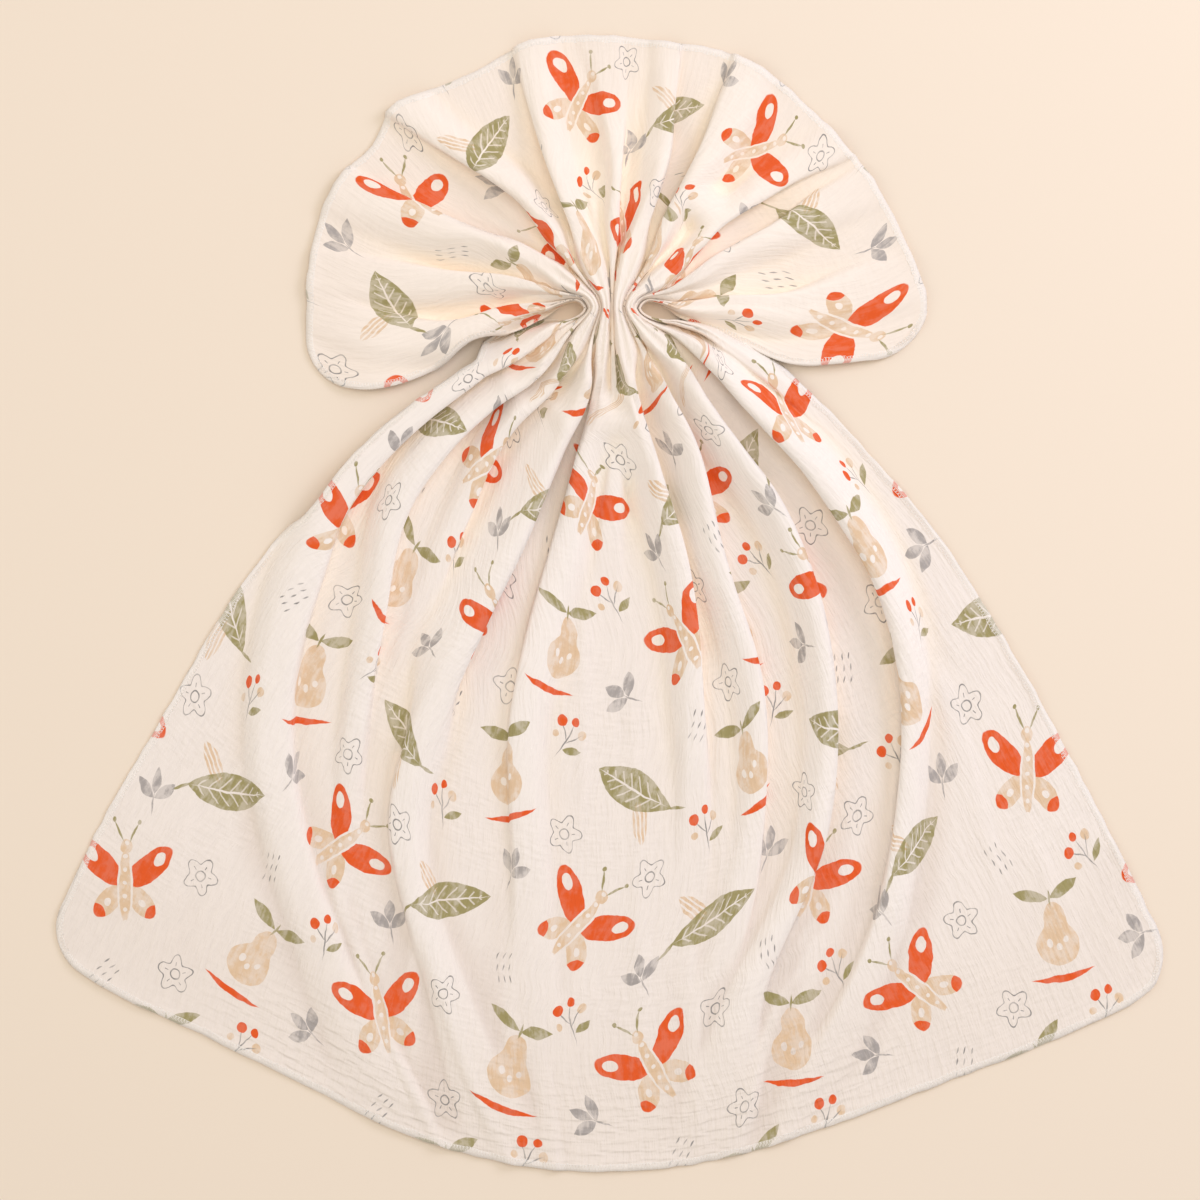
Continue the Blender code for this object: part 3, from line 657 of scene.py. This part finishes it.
def half_of_cloth(half):
    """The middle surface on one side of the gather, row by row outwards, its places on the flat cloth and
    how far they lie from its edge and from the hem at the end."""
    distance = np.array((0.0, *half.rows))
    share = column_shares(half, folds_at(half, distance), distance)
    distance = np.broadcast_to(distance[:, None], share.shape)
    share, distance = rounded_corner(share, distance, half.length)
    points = lay_out(half, folds_at(half, distance), share, distance)
    flat = np.stack([share * CLOTH_WIDTH / 2, half.forward * distance], axis=-1)
    return points, flat, from_hem(share, distance, half.length), half.length - distance


def middle_surface():
    """The whole cloth as a grid of points, from the bottom hem to the top of the fan."""
    return [np.concatenate([below[::-1], above[1:]])
            for below, above in zip(half_of_cloth(SKIRT), half_of_cloth(FAN))]


def slack_tucked_in(points, flat, to_end):
    """Moves the places on the flat cloth so that the cloth that a row seems to lack is tucked into its steep
    walls, and a little of it everywhere. Near the end hems the cloth lies as it is."""
    step = np.diff(points, axis=1)
    seen = np.linalg.norm(step, axis=-1)
    tucked = np.abs(step[..., 2]) + EVEN_SHARE * seen
    missing = CLOTH_WIDTH - seen.sum(axis=1, keepdims=True)
    spread = seen + missing * tucked / tucked.sum(axis=1, keepdims=True)
    spread = np.maximum(spread, LEAST_SPREAD * seen)
    across = np.concatenate([np.zeros((len(points), 1)), np.cumsum(spread, axis=1)], axis=1)
    across = (across / across[:, -1:] - 0.5) * CLOTH_WIDTH
    inside = ramp(to_end, *SLACK_GROWS)
    across = across * inside + flat[..., 0] * (1 - inside)
    return np.stack([across, flat[..., 1]], axis=-1)


def surface_normals(points):
    """Unit normals of a grid of points, facing up where it lies flat."""
    along = np.gradient(points, axis=0)
    across = np.gradient(points, axis=1)
    normals = np.cross(across, along)
    return normals / np.linalg.norm(normals, axis=-1, keepdims=True)


def edge_ring(grid):
    """The border of a grid in order, from its first corner along the bottom hem and round."""
    return np.concatenate([grid[0, :-1], grid[:-1, -1], grid[-1, :0:-1], grid[:0:-1, 0]])


def sheet_faces(rows, columns):
    """Quads of a closed sheet with a top grid, a bottom grid and a strip round the edge."""
    index = np.arange(rows * columns).reshape(rows, columns)
    top = np.stack([index[:-1, :-1], index[:-1, 1:], index[1:, 1:], index[1:, :-1]], axis=-1).reshape(-1, 4)
    bottom = top[:, ::-1] + rows * columns
    ring = edge_ring(index)
    ahead = np.roll(ring, -1)
    strip = np.stack([ahead, ring, ring + rows * columns, ahead + rows * columns], axis=-1)
    return np.concatenate([top, bottom, strip])


def new_object(name, data):
    made = bpy.data.objects.new(name, data)
    bpy.context.scene.collection.objects.link(made)
    return made


def lay_cloth(middle, flat, hem_distance, material):
    """The cloth itself, a closed thin sheet with its places on the flat cloth as its UV map."""
    rows, columns = middle.shape[:2]
    apart = surface_normals(middle) * CLOTH_THICKNESS / 2
    points = np.concatenate([(middle + apart).reshape(-1, 3), (middle - apart).reshape(-1, 3)])
    points[:, 2] = np.maximum(points[:, 2], 0.0)
    faces = sheet_faces(rows, columns)
    mesh = bpy.data.meshes.new("gauze_cloth")
    mesh.from_pydata(points.tolist(), [], faces.tolist())
    mesh.shade_smooth()
    places = np.concatenate([flat.reshape(-1, 2)] * 2)
    mesh.uv_layers.new(name="flat_cloth").data.foreach_set("uv", places[faces.reshape(-1)].reshape(-1))
    # in_folds sets the layered colour and the painted light on raised folds; in_hollow sets the painted light
    # and shade in hollows.
    kept = {
        "from_hem": hem_distance,
        "in_folds": ramp(middle[..., 2], *FOLD_HEIGHTS),
        "in_hollow": hollows(middle, flat),
    }
    for name, values in kept.items():
        made = mesh.attributes.new(name, "FLOAT", "POINT")
        made.data.foreach_set("value", np.concatenate([values.reshape(-1)] * 2))
    mesh.materials.append(material)
    return new_object("gauze_cloth", mesh)


# ---- adding nodes -----------------------------------------------------------------------------------


class Nodes:
    """Adds nodes to a tree one after another and links them."""

    def __init__(self, tree):
        self.tree = tree

    def give(self, socket, value):
        if isinstance(value, bpy.types.NodeSocket):
            self.tree.links.new(value, socket)
        else:
            socket.default_value = value

    def node(self, kind, inputs=(), **settings):
        made = self.tree.nodes.new(kind)
        for name, value in settings.items():
            setattr(made, name, value)
        for key, value in dict(inputs).items():
            self.give(made.inputs[key], value)
        return made

    def value(self, operation, *numbers):
        return self.node("ShaderNodeMath", dict(enumerate(numbers)), operation=operation).outputs[0]

    def times(self, first, second):
        return self.value("MULTIPLY", first, second)

    def point(self, x=0.0, y=0.0, z=0.0):
        return self.node("ShaderNodeCombineXYZ", {0: x, 1: y, 2: z}).outputs[0]


# ---- the overlocked edge ----------------------------------------------------------------------------


def stitch_places(middle):
    """Points along the cloth's edge one stitch apart, with the ways inwards and up there."""
    normals = surface_normals(middle)
    ring = edge_ring(middle)
    inner = middle.copy()
    inner[0], inner[-1] = middle[2], middle[-3]
    inner[:, 0], inner[:, -1] = middle[:, 2], middle[:, -3]
    rings = [ring, edge_ring(inner) - ring, edge_ring(normals)]
    rings = [np.concatenate([part, part[:1]]) for part in rings]
    walked = np.concatenate([[0.0], np.cumsum(np.linalg.norm(np.diff(rings[0], axis=0), axis=1))])
    count = int(round(walked[-1] / STITCH_PITCH))
    at = np.arange(count) * walked[-1] / count
    ring, inwards, up = (
        np.stack([np.interp(at, walked, part[:, n]) for n in range(3)], axis=1) for part in rings
    )
    along = np.roll(ring, -1, axis=0) - np.roll(ring, 1, axis=0)
    up /= np.linalg.norm(up, axis=1, keepdims=True)
    across = np.cross(up, along)
    across *= np.sign((across * inwards).sum(axis=1, keepdims=True))
    across /= np.linalg.norm(across, axis=1, keepdims=True)
    return ring, across, up


def stitch_sizes(tree):
    """The stitches' named inputs, each with its identifier and its value."""
    sizes = {"Pitch": STITCH_PITCH, "Bite": STITCH_BITE, "Thread": THREAD_THICKNESS, "Seed": STITCH_SEED}
    named = {}
    for name, value in sizes.items():
        kind = "NodeSocketInt" if name == "Seed" else "NodeSocketFloat"
        socket = tree.interface.new_socket(name=name, in_out="INPUT", socket_type=kind)
        socket.default_value = value
        named[socket.identifier] = value
    return named


def sewn_thread(sewing, given):
    """One stitch: two threads that cross the edge, and one along their ends."""
    half = sewing.times(given["Pitch"], 0.5)
    back = sewing.times(half, -1.0)
    thread = given["Thread"]
    seam_height = sewing.times(thread, THREAD_SEAM)
    lines = []
    for side in (back, half):
        arc = sewing.node("GeometryNodeCurveQuadraticBezier", {
            "Resolution": 4,
            "Start": sewing.point(side, sewing.times(thread, THREAD_OUT), sewing.times(thread, THREAD_DOWN)),
            "Middle": sewing.point(sewing.times(side, STITCH_LEAN), sewing.times(given["Bite"], STITCH_TOP),
                                   sewing.times(thread, THREAD_TOP)),
            "End": sewing.point(0.0, given["Bite"], seam_height),
        })
        lines.append(arc.outputs[0])
    seam = sewing.node("GeometryNodeCurvePrimitiveLine", {
        "Start": sewing.point(back, given["Bite"], seam_height),
        "End": sewing.point(half, given["Bite"], seam_height),
    })
    lines.append(seam.outputs[0])
    joined = sewing.node("GeometryNodeJoinGeometry")
    for line in lines:
        sewing.tree.links.new(line, joined.inputs[0])
    radius = sewing.times(thread, 0.5)
    outline = sewing.node("GeometryNodeCurvePrimitiveCircle", {"Resolution": 4, "Radius": radius}).outputs[0]
    tube = {0: joined.outputs[0], 1: outline, "Fill Caps": True}
    return sewing.node("GeometryNodeCurveToMesh", tube).outputs[0]


def stitch_tree(material):
    """Puts one overlock stitch on each point of a mesh."""
    tree = bpy.data.node_groups.new("overlock_stitches", "GeometryNodeTree")
    tree.interface.new_socket(name="Geometry", in_out="INPUT", socket_type="NodeSocketGeometry")
    named = stitch_sizes(tree)
    tree.interface.new_socket(name="Geometry", in_out="OUTPUT", socket_type="NodeSocketGeometry")
    sewing = Nodes(tree)
    given = sewing.node("NodeGroupInput").outputs
    ways = [sewing.node("GeometryNodeInputNamedAttribute", {"Name": name}, data_type="FLOAT_VECTOR")
            for name in ("upwards", "inwards")]
    facing = sewing.node("FunctionNodeAxesToRotation", {0: ways[0].outputs[0], 1: ways[1].outputs[0]},
                         primary_axis="Z", secondary_axis="Y")
    uneven = sewing.node("FunctionNodeRandomValue", {"Seed": given["Seed"]}, data_type="FLOAT")
    ends = [socket for socket in uneven.inputs if socket.type == "VALUE" and socket.enabled]
    for end, value in zip(ends, STITCH_LENGTHS):
        end.default_value = value
    length = next(socket for socket in uneven.outputs if socket.enabled)
    placed = sewing.node("GeometryNodeInstanceOnPoints", {
        "Points": given["Geometry"],
        "Instance": sewn_thread(sewing, given),
        "Rotation": facing.outputs[0],
        "Scale": sewing.point(1.0, length, 1.0),
    })
    realized = sewing.node("GeometryNodeRealizeInstances", {0: placed.outputs[0]})
    finished = sewing.node("GeometryNodeSetMaterial", {"Geometry": realized.outputs[0], "Material": material})
    sewing.node("NodeGroupOutput", {0: finished.outputs[0]})
    return tree, named


def overlock_stitches(middle, material):
    """The overlock stitches round the whole edge, as one plain mesh."""
    places, inwards, upwards = stitch_places(middle)
    mesh = bpy.data.meshes.new("stitch_places")
    mesh.from_pydata(places.tolist(), [], [])
    for name, ways in (("inwards", inwards), ("upwards", upwards)):
        mesh.attributes.new(name, "FLOAT_VECTOR", "POINT").data.foreach_set("vector", ways.reshape(-1))
    guide = new_object("stitch_places", mesh)
    tree, named = stitch_tree(material)
    sewing = guide.modifiers.new("sewing", "NODES")
    sewing.node_group = tree
    for identifier, value in named.items():
        sewing[identifier] = value
    graph = bpy.context.evaluated_depsgraph_get()
    plain = bpy.data.meshes.new_from_object(guide.evaluated_get(graph))
    bpy.data.objects.remove(guide, do_unlink=True)
    plain.name = "hem_stitches"
    return new_object("hem_stitches", plain)


# ---- the printed double gauze -----------------------------------------------------------------------


class Drawing(Nodes):
    """Shader nodes for a print, with what each ink covers so far."""

    def __init__(self, tree):
        super().__init__(tree)
        self.inks = {}

    def vector(self, operation, *vectors):
        return self.node("ShaderNodeVectorMath", dict(enumerate(vectors)), operation=operation).outputs[0]

    def scaled(self, colour, amount):
        return self.node("ShaderNodeVectorMath", {0: colour, "Scale": amount}, operation="SCALE").outputs[0]

    def length(self, at):
        return self.node("ShaderNodeVectorMath", {0: at}, operation="LENGTH").outputs["Value"]

    def parts(self, at):
        return self.node("ShaderNodeSeparateXYZ", {0: at}).outputs[:2]

    def seen_from(self, at, x, y, turn=0.0, wide=1.0, high=1.0):
        """Coordinates about (x, y), turned by so many degrees and measured in `wide` and `high`."""
        made = self.node("ShaderNodeMapping", {
            "Vector": at,
            "Location": (x, y, 0.0),
            "Rotation": (0.0, 0.0, math.radians(turn)),
            "Scale": (wide, high, 1.0),
        }, vector_type="TEXTURE")
        return made.outputs[0]

    def mirrored(self, at):
        x, y = self.parts(at)
        return self.point(self.value("ABSOLUTE", x), y)

    def wrapped(self, at, x, y):
        """Coordinates that repeat, from -x to x and from -y to y."""
        return self.vector("WRAP", at, (x, y, 1.0), (-x, -y, -1.0))

    def nearest(self, at, places):
        """Coordinates about the nearest of a motif's places in the repeat."""
        best = None
        for place in places:
            away = self.vector("SUBTRACT", at, (place.x, place.y, 0.0))
            away = self.wrapped(away, REPEAT_WIDTH / 2, REPEAT_HEIGHT / 2)
            own = self.seen_from(away, 0.0, 0.0, place.turn)
            if best is None:
                best = own
                continue
            closer = self.value("LESS_THAN", self.length(own), self.length(best))
            best = self.blend(closer, best, own, "VECTOR")
        return best

    def blend(self, amount, first, second, kind="RGBA"):
        ends = {"VECTOR": "Vector", "RGBA": "Color"}[kind]
        made = self.node("ShaderNodeMix", data_type=kind)
        given = {socket.identifier: socket for socket in made.inputs}
        chosen = (("Factor_Float", amount), (f"A_{ends}", first), (f"B_{ends}", second))
        for name, value in chosen:
            self.give(given[name], (*value, 1.0) if isinstance(value, tuple) else value)
        return next(socket for socket in made.outputs if socket.identifier == f"Result_{ends}")

    def noise(self, at, scale, detail=2.0, rough=0.5):
        settings = {"Vector": at, "Scale": scale, "Detail": detail, "Roughness": rough}
        return self.node("ShaderNodeTexNoise", settings, noise_dimensions="2D").outputs["Fac"]

    def grain(self, at, grain):
        drawn_out = self.seen_from(at, 0.0, 0.0, 0.0, grain.across, grain.along)
        return self.noise(drawn_out, grain.scale, grain.detail, grain.rough)

    def between(self, x, low, high, first=0.0, last=1.0):
        """Goes smoothly from first to last as x goes from low to high."""
        settings = {0: x, 1: low, 2: high, 3: first, 4: last}
        return self.node("ShaderNodeMapRange", settings, interpolation_type="SMOOTHSTEP").outputs[0]

    # Outlines. Each gives how far outside it a point lies, in metres, below 0 inside it.

    def oval(self, at, x, y, wide, high, turn=0.0):
        own = self.seen_from(at, x, y, turn, wide, high)
        narrow = min(wide, high)
        return self.value("MULTIPLY_ADD", self.length(own), narrow, -narrow)

    def pointed(self, at, x, y, long, wide, turn=0.0):
        """A shape with two points, like a leaf or a brush stroke."""
        across, side = self.parts(self.seen_from(at, x, y, turn, long, wide))
        bow = self.value("MULTIPLY_ADD", across, across, -1.0)
        return self.times(self.value("ADD", bow, self.value("ABSOLUTE", side)), wide * 0.8)

    def line_along(self, outline, thickness):
        return self.value("SUBTRACT", self.value("ABSOLUTE", outline), thickness)

    def ring(self, far, radius, thickness):
        return self.line_along(self.value("SUBTRACT", far, radius), thickness)

    def union(self, *outlines):
        joined = outlines[0]
        for outline in outlines[1:]:
            joined = self.value("MINIMUM", joined, outline)
        return joined

    def within(self, outline, other):
        return self.value("MAXIMUM", outline, other)

    def without(self, outline, hole):
        return self.within(outline, self.times(hole, -1.0))

    def stamp(self, ink, *outlines):
        outline = self.union(*outlines)
        if ink in self.inks:
            outline = self.union(self.inks[ink], outline)
        self.inks[ink] = outline


def draw_butterfly(ink, at):
    """Red upper wings with a pale spot, tan lower wings with red tips, a tan body and olive feelers."""
    side = ink.mirrored(at)
    wings = ink.oval(side, 0.0275, 0.016, 0.029, 0.0125, 34)
    wings = ink.without(wings, ink.oval(side, 0.038, 0.0232, 0.0082, 0.0052, 34))
    low_wings = ink.oval(side, 0.0185, -0.0175, 0.019, 0.0105, -42)
    tips = ink.within(low_wings, ink.oval(side, 0.033, -0.031, 0.0115, 0.0115))
    clear = ink.oval(at, 0.0, -0.002, 0.0085, 0.037)
    ink.stamp("red", ink.without(wings, clear), tips)
    spots = ink.oval(side, 0.019, -0.018, 0.0044, 0.0032, -42)
    low_wings = ink.without(ink.without(low_wings, tips), spots)
    ink.stamp("tan", ink.without(low_wings, clear))
    body = ink.union(ink.oval(at, 0.0, -0.003, 0.0062, 0.033), ink.oval(at, 0.0, 0.033, 0.0064, 0.0064))
    ring = ink.seen_from(ink.wrapped(at, 1.0, 0.006), 0.0, 0.0)
    ink.stamp("tan", ink.without(body, ink.oval(ring, 0.0, 0.0, 0.0024, 0.002)))
    feelers = ink.pointed(side, 0.0085, 0.0455, 0.0105, 0.0012, 58)
    ink.stamp("olive", feelers, ink.oval(side, 0.0142, 0.055, 0.0022, 0.0022))


def draw_striped_leaf(ink, at):
    """A broad olive leaf with a pale rib, and a small tan leaf with stripes beside it."""
    across, side = ink.parts(at)
    leaf = ink.pointed(at, 0.0, 0.0, 0.046, 0.0175)
    rib = ink.pointed(at, 0.002, 0.0, 0.042, 0.001)
    slant = ink.value("SUBTRACT", across, ink.value("ABSOLUTE", side))
    veins = ink.value("COSINE", ink.times(slant, 2 * math.pi / 0.0115))
    veins = ink.value("MULTIPLY_ADD", veins, -0.0012, 0.00108)
    veins = ink.within(veins, ink.value("ADD", leaf, 0.0034))
    leaf = ink.without(ink.without(leaf, rib), veins)
    ink.stamp("olive", leaf, ink.pointed(at, -0.052, -0.003, 0.013, 0.0016, 24))
    small = ink.pointed(at, -0.022, 0.024, 0.023, 0.0085, 125)
    slant = ink.value("ADD", across, ink.times(side, 0.7))
    stripes = ink.value("COSINE", ink.times(slant, 2 * math.pi / 0.0052))
    ink.stamp("tan", ink.within(small, ink.value("MULTIPLY_ADD", stripes, 0.001, -0.0003)))


def draw_pear(ink, at):
    """A tan pear with pale spots, two olive leaves and a stalk, and a red brush stroke under it."""
    side = ink.mirrored(at)
    belly = ink.oval(at, 0.0, -0.0105, 0.0225, 0.02)
    body = ink.value("SMOOTH_MIN", belly, ink.oval(at, 0.0015, 0.015, 0.0118, 0.015), 0.012)
    spots = ink.union(
        ink.oval(at, -0.0085, -0.008, 0.0032, 0.0042, 15),
        ink.oval(at, 0.001, -0.013, 0.0028, 0.0036, -10),
        ink.oval(at, 0.0095, -0.006, 0.0026, 0.0034, -20),
    )
    ink.stamp("tan", ink.without(body, spots))
    stalk = ink.pointed(at, 0.0008, 0.0345, 0.008, 0.0013, 84)
    ink.stamp("olive", ink.pointed(side, 0.018, 0.0395, 0.018, 0.0058, 18), stalk)
    x, y = ink.parts(at)
    bent = ink.point(x, ink.value("SUBTRACT", y, ink.times(ink.times(x, x), 3.5)))
    ink.stamp("red", ink.pointed(bent, 0.0, -0.043, 0.033, 0.0034, 3))


def draw_pencil_flower(ink, at):
    """The outline of a flower in pencil."""
    x, y = ink.parts(at)
    lobes = ink.value("COSINE", ink.times(ink.value("ARCTAN2", y, x), 5.0))
    far = ink.length(at)
    petals = ink.ring(far, ink.value("MULTIPLY_ADD", lobes, 0.0036, 0.015), 0.00066)
    centre = ink.ring(far, 0.0048, 0.00062)
    veins = ink.within(ink.value("MULTIPLY_ADD", lobes, -0.02, 0.0195), ink.ring(far, 0.0095, 0.0018))
    ink.stamp("pencil", petals, centre, veins)


def draw_grey_sprout(ink, at):
    """Three soft grey leaves on a stalk."""
    leaves = ink.pointed(ink.mirrored(at), 0.0105, 0.003, 0.0125, 0.0058, 40)
    top = ink.pointed(at, 0.0, 0.0115, 0.012, 0.0052, 90)
    ink.stamp("grey", leaves, top, ink.pointed(at, 0.0, -0.0105, 0.011, 0.0009, 90))


def draw_pencil_dashes(ink, at):
    """A group of short pencil strokes."""
    dash = ink.pointed(ink.wrapped(at, 0.0036, 0.0056), 0.0, 0.0, 0.0036, 0.0007, 78)
    ink.stamp("pencil", ink.within(dash, ink.oval(at, 0.0, 0.0, 0.013, 0.0175)))


def draw_berry_sprig(ink, at):
    """Red and tan berries on thin stalks, with a small olive leaf."""
    ink.stamp("red", ink.oval(at, -0.011, 0.012, 0.0052, 0.0056), ink.oval(at, 0.002, 0.018, 0.004, 0.0044))
    ink.stamp("tan", ink.oval(at, 0.0125, 0.009, 0.0046, 0.005), ink.oval(at, -0.013, -0.003, 0.0034, 0.0036))
    ink.stamp("olive", ink.pointed(at, 0.011, -0.009, 0.0105, 0.0036, 22))
    stalks = (
        ink.pointed(at, 0.0, -0.003, 0.019, 0.0007, 86),
        ink.pointed(at, -0.005, 0.003, 0.009, 0.0006, 125),
        ink.pointed(at, 0.006, 0.001, 0.01, 0.0006, 52),
    )
    ink.stamp("pencil", *stalks)


def draw_print(ink, flat):
    """The whole repeat: large motifs in staggered rows and small ones in the gaps between them."""
    settings = {"Vector": flat, "Scale": PRINT_WAVER_SCALE, "Detail": 2.0}
    wander = ink.node("ShaderNodeTexNoise", settings, noise_dimensions="2D").outputs["Color"]
    wander = ink.vector("SUBTRACT", wander, (0.5, 0.5, 0.5))
    at = ink.vector("MULTIPLY_ADD", wander, (PRINT_WAVER, PRINT_WAVER, 0.0), flat)
    motifs = (
        (draw_butterfly, BUTTERFLIES),
        (draw_striped_leaf, STRIPED_LEAVES),
        (draw_pear, PEARS),
        (draw_pencil_flower, PENCIL_FLOWERS),
        (draw_grey_sprout, GREY_SPROUTS),
        (draw_pencil_dashes, PENCIL_DASHES),
        (draw_berry_sprig, BERRY_SPRIGS),
    )
    for draw, places in motifs:
        draw(ink, ink.nearest(at, places))


def draw_crinkle(ink, flat):
    """The crinkle of double gauze: uneven streaks along the cloth, with patches of cross lines between them
    and closer ones along the bottom hem. Gives the painted shade in its valleys and its relief."""
    across, along = ink.parts(flat)
    streaks = ink.grain(flat, STREAKS)
    cross = ink.grain(flat, CROSS_LINES)
    crossed = ink.between(ink.noise(flat, CROSS_PATCH_SCALE, 1.0), *CROSS_PATCHES, *CROSS_STRENGTHS)
    middle = ink.value("ABSOLUTE", ink.value("ADD", across, -RIPPLE_MIDDLE))
    drawn_in = ink.times(ink.between(along, *RIPPLES_ALONG), ink.between(middle, *RIPPLES_ACROSS))
    ripple = ink.value("MULTIPLY_ADD", cross, RIPPLE_WANDER, ink.times(along, 2 * math.pi / RIPPLE_PITCH))
    ripple = ink.times(ink.times(ink.value("SINE", ripple), drawn_in), RIPPLE_STRENGTH)
    strength = ink.value("MAXIMUM", crossed, drawn_in)
    relief = ink.value("MULTIPLY_ADD", ink.grain(flat, THREADS), THREAD_STRENGTH, streaks)
    relief = ink.value("MULTIPLY_ADD", cross, strength, relief)
    relief = ink.value("MULTIPLY_ADD", ripple, RIPPLE_RELIEF, relief)
    relief = ink.times(relief, ink.between(along, *CRINKLE_FADES, 1.0, CRINKLE_IN_FAN))
    # Painted shade from the streaks, the cross lines and the hem's ripples.
    painted_shade = ink.value("MULTIPLY_ADD", ink.value("SUBTRACT", cross, 0.5), strength, streaks)
    return ink.value("ADD", painted_shade, ripple), relief


def gauze_colour(ink, flat, crinkle_painted_shade):
    """The gauze before it is printed: ivory, creamier at the gather and in the fan, with painted light in the
    deep hollows and on the raised folds, and painted shade in the low hollows far out, towards the bottom hem
    and in its crinkle.
    """
    along = ink.parts(flat)[1]
    hollow = ink.node("ShaderNodeAttribute", attribute_name="in_hollow").outputs["Fac"]
    far_out = ink.between(along, *LOW_HOLLOW_SHADE_GROWS)
    # Painted light in the hollows near the gather, and painted shade in the low hollows far out.
    tone_and_painted_light = ink.blend(ink.between(hollow, 0.0, 0.5), UNCHANGED, ink.blend(far_out, HOLLOW_PAINTED_LIGHT, LOW_HOLLOW_PAINTED_SHADE))
    tone_and_painted_light = ink.blend(ink.between(hollow, 0.5, 1.0), tone_and_painted_light, ink.blend(far_out, DEEP_HOLLOW_PAINTED_LIGHT, LOW_HOLLOW_PAINTED_SHADE))
    # A creamier tone at the gather and in the fan, and painted shade towards the bottom hem.
    for own, grows in ((CLOSE_TONE, CLOSE_TONE_GROWS), (BOTTOM_PAINTED_SHADE, BOTTOM_PAINTED_SHADE_GROWS)):
        tone_and_painted_light = ink.vector("MULTIPLY", tone_and_painted_light, ink.blend(ink.between(along, *grows), UNCHANGED, own))
    # Lighter where the cloth stands higher: more layers, and painted light on the raised folds.
    layered_and_lit = ink.node("ShaderNodeAttribute", attribute_name="in_folds").outputs["Fac"]
    ivory = ink.blend(layered_and_lit, IVORY_SINGLE, IVORY_LAYERED_AND_LIT)
    ivory = ink.vector("MINIMUM", ink.vector("MULTIPLY", ivory, tone_and_painted_light), IVORY_MOST)
    # Painted shade in the valleys of the crinkle.
    return ink.scaled(ivory, ink.between(crinkle_painted_shade, *CRINKLE_RANGE, CRINKLE_SHADE, 1.0))


def printed(ink, flat, colour):
    """Lays the inks over the gauze, uneven as if brushed."""
    brushed = ink.times(ink.grain(flat, BRUSH_STREAKS), BRUSH_STRENGTH)
    wash = ink.between(ink.value("ADD", brushed, ink.noise(flat, *WASH_NOISE)), *WASH_RANGE)
    for name, own in INKS.items():
        covered = ink.between(ink.inks[name], INK_EDGE, -INK_EDGE)
        amount = ink.times(covered, ink.between(wash, 0.0, 1.0, own.weak, own.strong))
        colour = ink.blend(amount, colour, own.colour)
    return colour


def new_material(name, roughness, sheen):
    material = bpy.data.materials.new(name)
    material.use_nodes = True
    shader = material.node_tree.nodes["Principled BSDF"]
    shader.inputs["Roughness"].default_value = roughness
    shader.inputs["Sheen Weight"].default_value = sheen
    return material, shader


def printed_gauze():
    """Ivory double gauze: crinkled along its length, printed, with a paler sewn edge."""
    material, shader = new_material("printed_double_gauze", 0.92, 0.10)
    shader.inputs["Specular IOR Level"].default_value = 0.25
    shader.inputs["Sheen Roughness"].default_value = 0.55
    ink = Drawing(material.node_tree)
    flat = ink.node("ShaderNodeUVMap", uv_map="flat_cloth").outputs[0]
    draw_print(ink, flat)
    crinkle_painted_shade, relief = draw_crinkle(ink, flat)
    colour = printed(ink, flat, gauze_colour(ink, flat, crinkle_painted_shade))
    near = ink.node("ShaderNodeAttribute", attribute_name="from_hem").outputs["Fac"]
    colour = ink.blend(ink.between(near, *SEWN_STRIP, SEWN_STRENGTH, 0.0), colour, SEWN_TONE)
    ink.give(shader.inputs["Base Color"], colour)
    settings = {"Strength": CRINKLE_STRENGTH, "Distance": CRINKLE_DEPTH, "Height": relief}
    ink.give(shader.inputs["Normal"], ink.node("ShaderNodeBump", settings).outputs[0])
    return material


def overlock_thread():
    material, shader = new_material("overlock_thread", 0.75, 0.05)
    shader.inputs["Base Color"].default_value = THREAD_COLOUR
    return material


# ---- the stage --------------------------------------------------------------------------------------


def pale_floor():
    mesh = bpy.data.meshes.new("floor")
    corners = [(x * FLOOR_REACH, y * FLOOR_REACH, 0.0) for x, y in ((-1, -1), (1, -1), (1, 1), (-1, 1))]
    mesh.from_pydata(corners, [], [(0, 1, 2, 3)])
    material, shader = new_material("pale_floor", 0.85, 0.0)
    shader.inputs["Base Color"].default_value = FLOOR_COLOUR
    mesh.materials.append(material)
    return new_object("floor", mesh)


def soft_lamp(name, place, size, power, colour):
    """A large square lamp that faces the middle of the cloth."""
    lamp = bpy.data.lights.new(name, "AREA")
    lamp.shape = "SQUARE"
    lamp.size = size
    lamp.energy = power
    lamp.color = colour
    hung = new_object(name, lamp)
    hung.location = place
    away = math.hypot(place[0], place[1])
    hung.rotation_euler = (math.atan2(away, place[2]), 0.0, math.atan2(place[1], place[0]) + math.pi / 2)


def soft_studio():
    world = bpy.data.worlds.new("pale_room")
    bpy.context.scene.world = world
    world.use_nodes = True
    around = world.node_tree.nodes["Background"].inputs
    around["Color"].default_value = ROOM_COLOUR
    around["Strength"].default_value = ROOM_LIGHT
    soft_lamp("key", (2.7, 1.9, 1.9), 1.4, 43.5, (0.95, 0.99, 1.25))
    soft_lamp("overhead", (0.6, 1.0, 4.2), 2.4, 50.0, (1.0, 0.965, 0.915))
    soft_lamp("fill", (-4.6, 0.9, 2.5), 2.2, 34.0, (1.0, 0.97, 0.91))
    bpy.context.scene.view_settings.view_transform = "Standard"


def camera_above():
    camera = bpy.data.cameras.new("camera")
    camera.sensor_width = 36.0
    camera.lens = camera.sensor_width * CAMERA_PLACE[2] / VIEW_WIDTH
    held = new_object("camera", camera)
    held.location = CAMERA_PLACE
    bpy.context.scene.camera = held


middle, flat, hem_distance, to_end = middle_surface()
cloth = lay_cloth(middle, slack_tucked_in(middle, flat, to_end), hem_distance, printed_gauze())
stitches = overlock_stitches(middle, overlock_thread())
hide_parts("muslin_blanket")
for piece in (cloth, stitches):
    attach(piece, "root")
floor = pale_floor()
soft_studio()
camera_above()
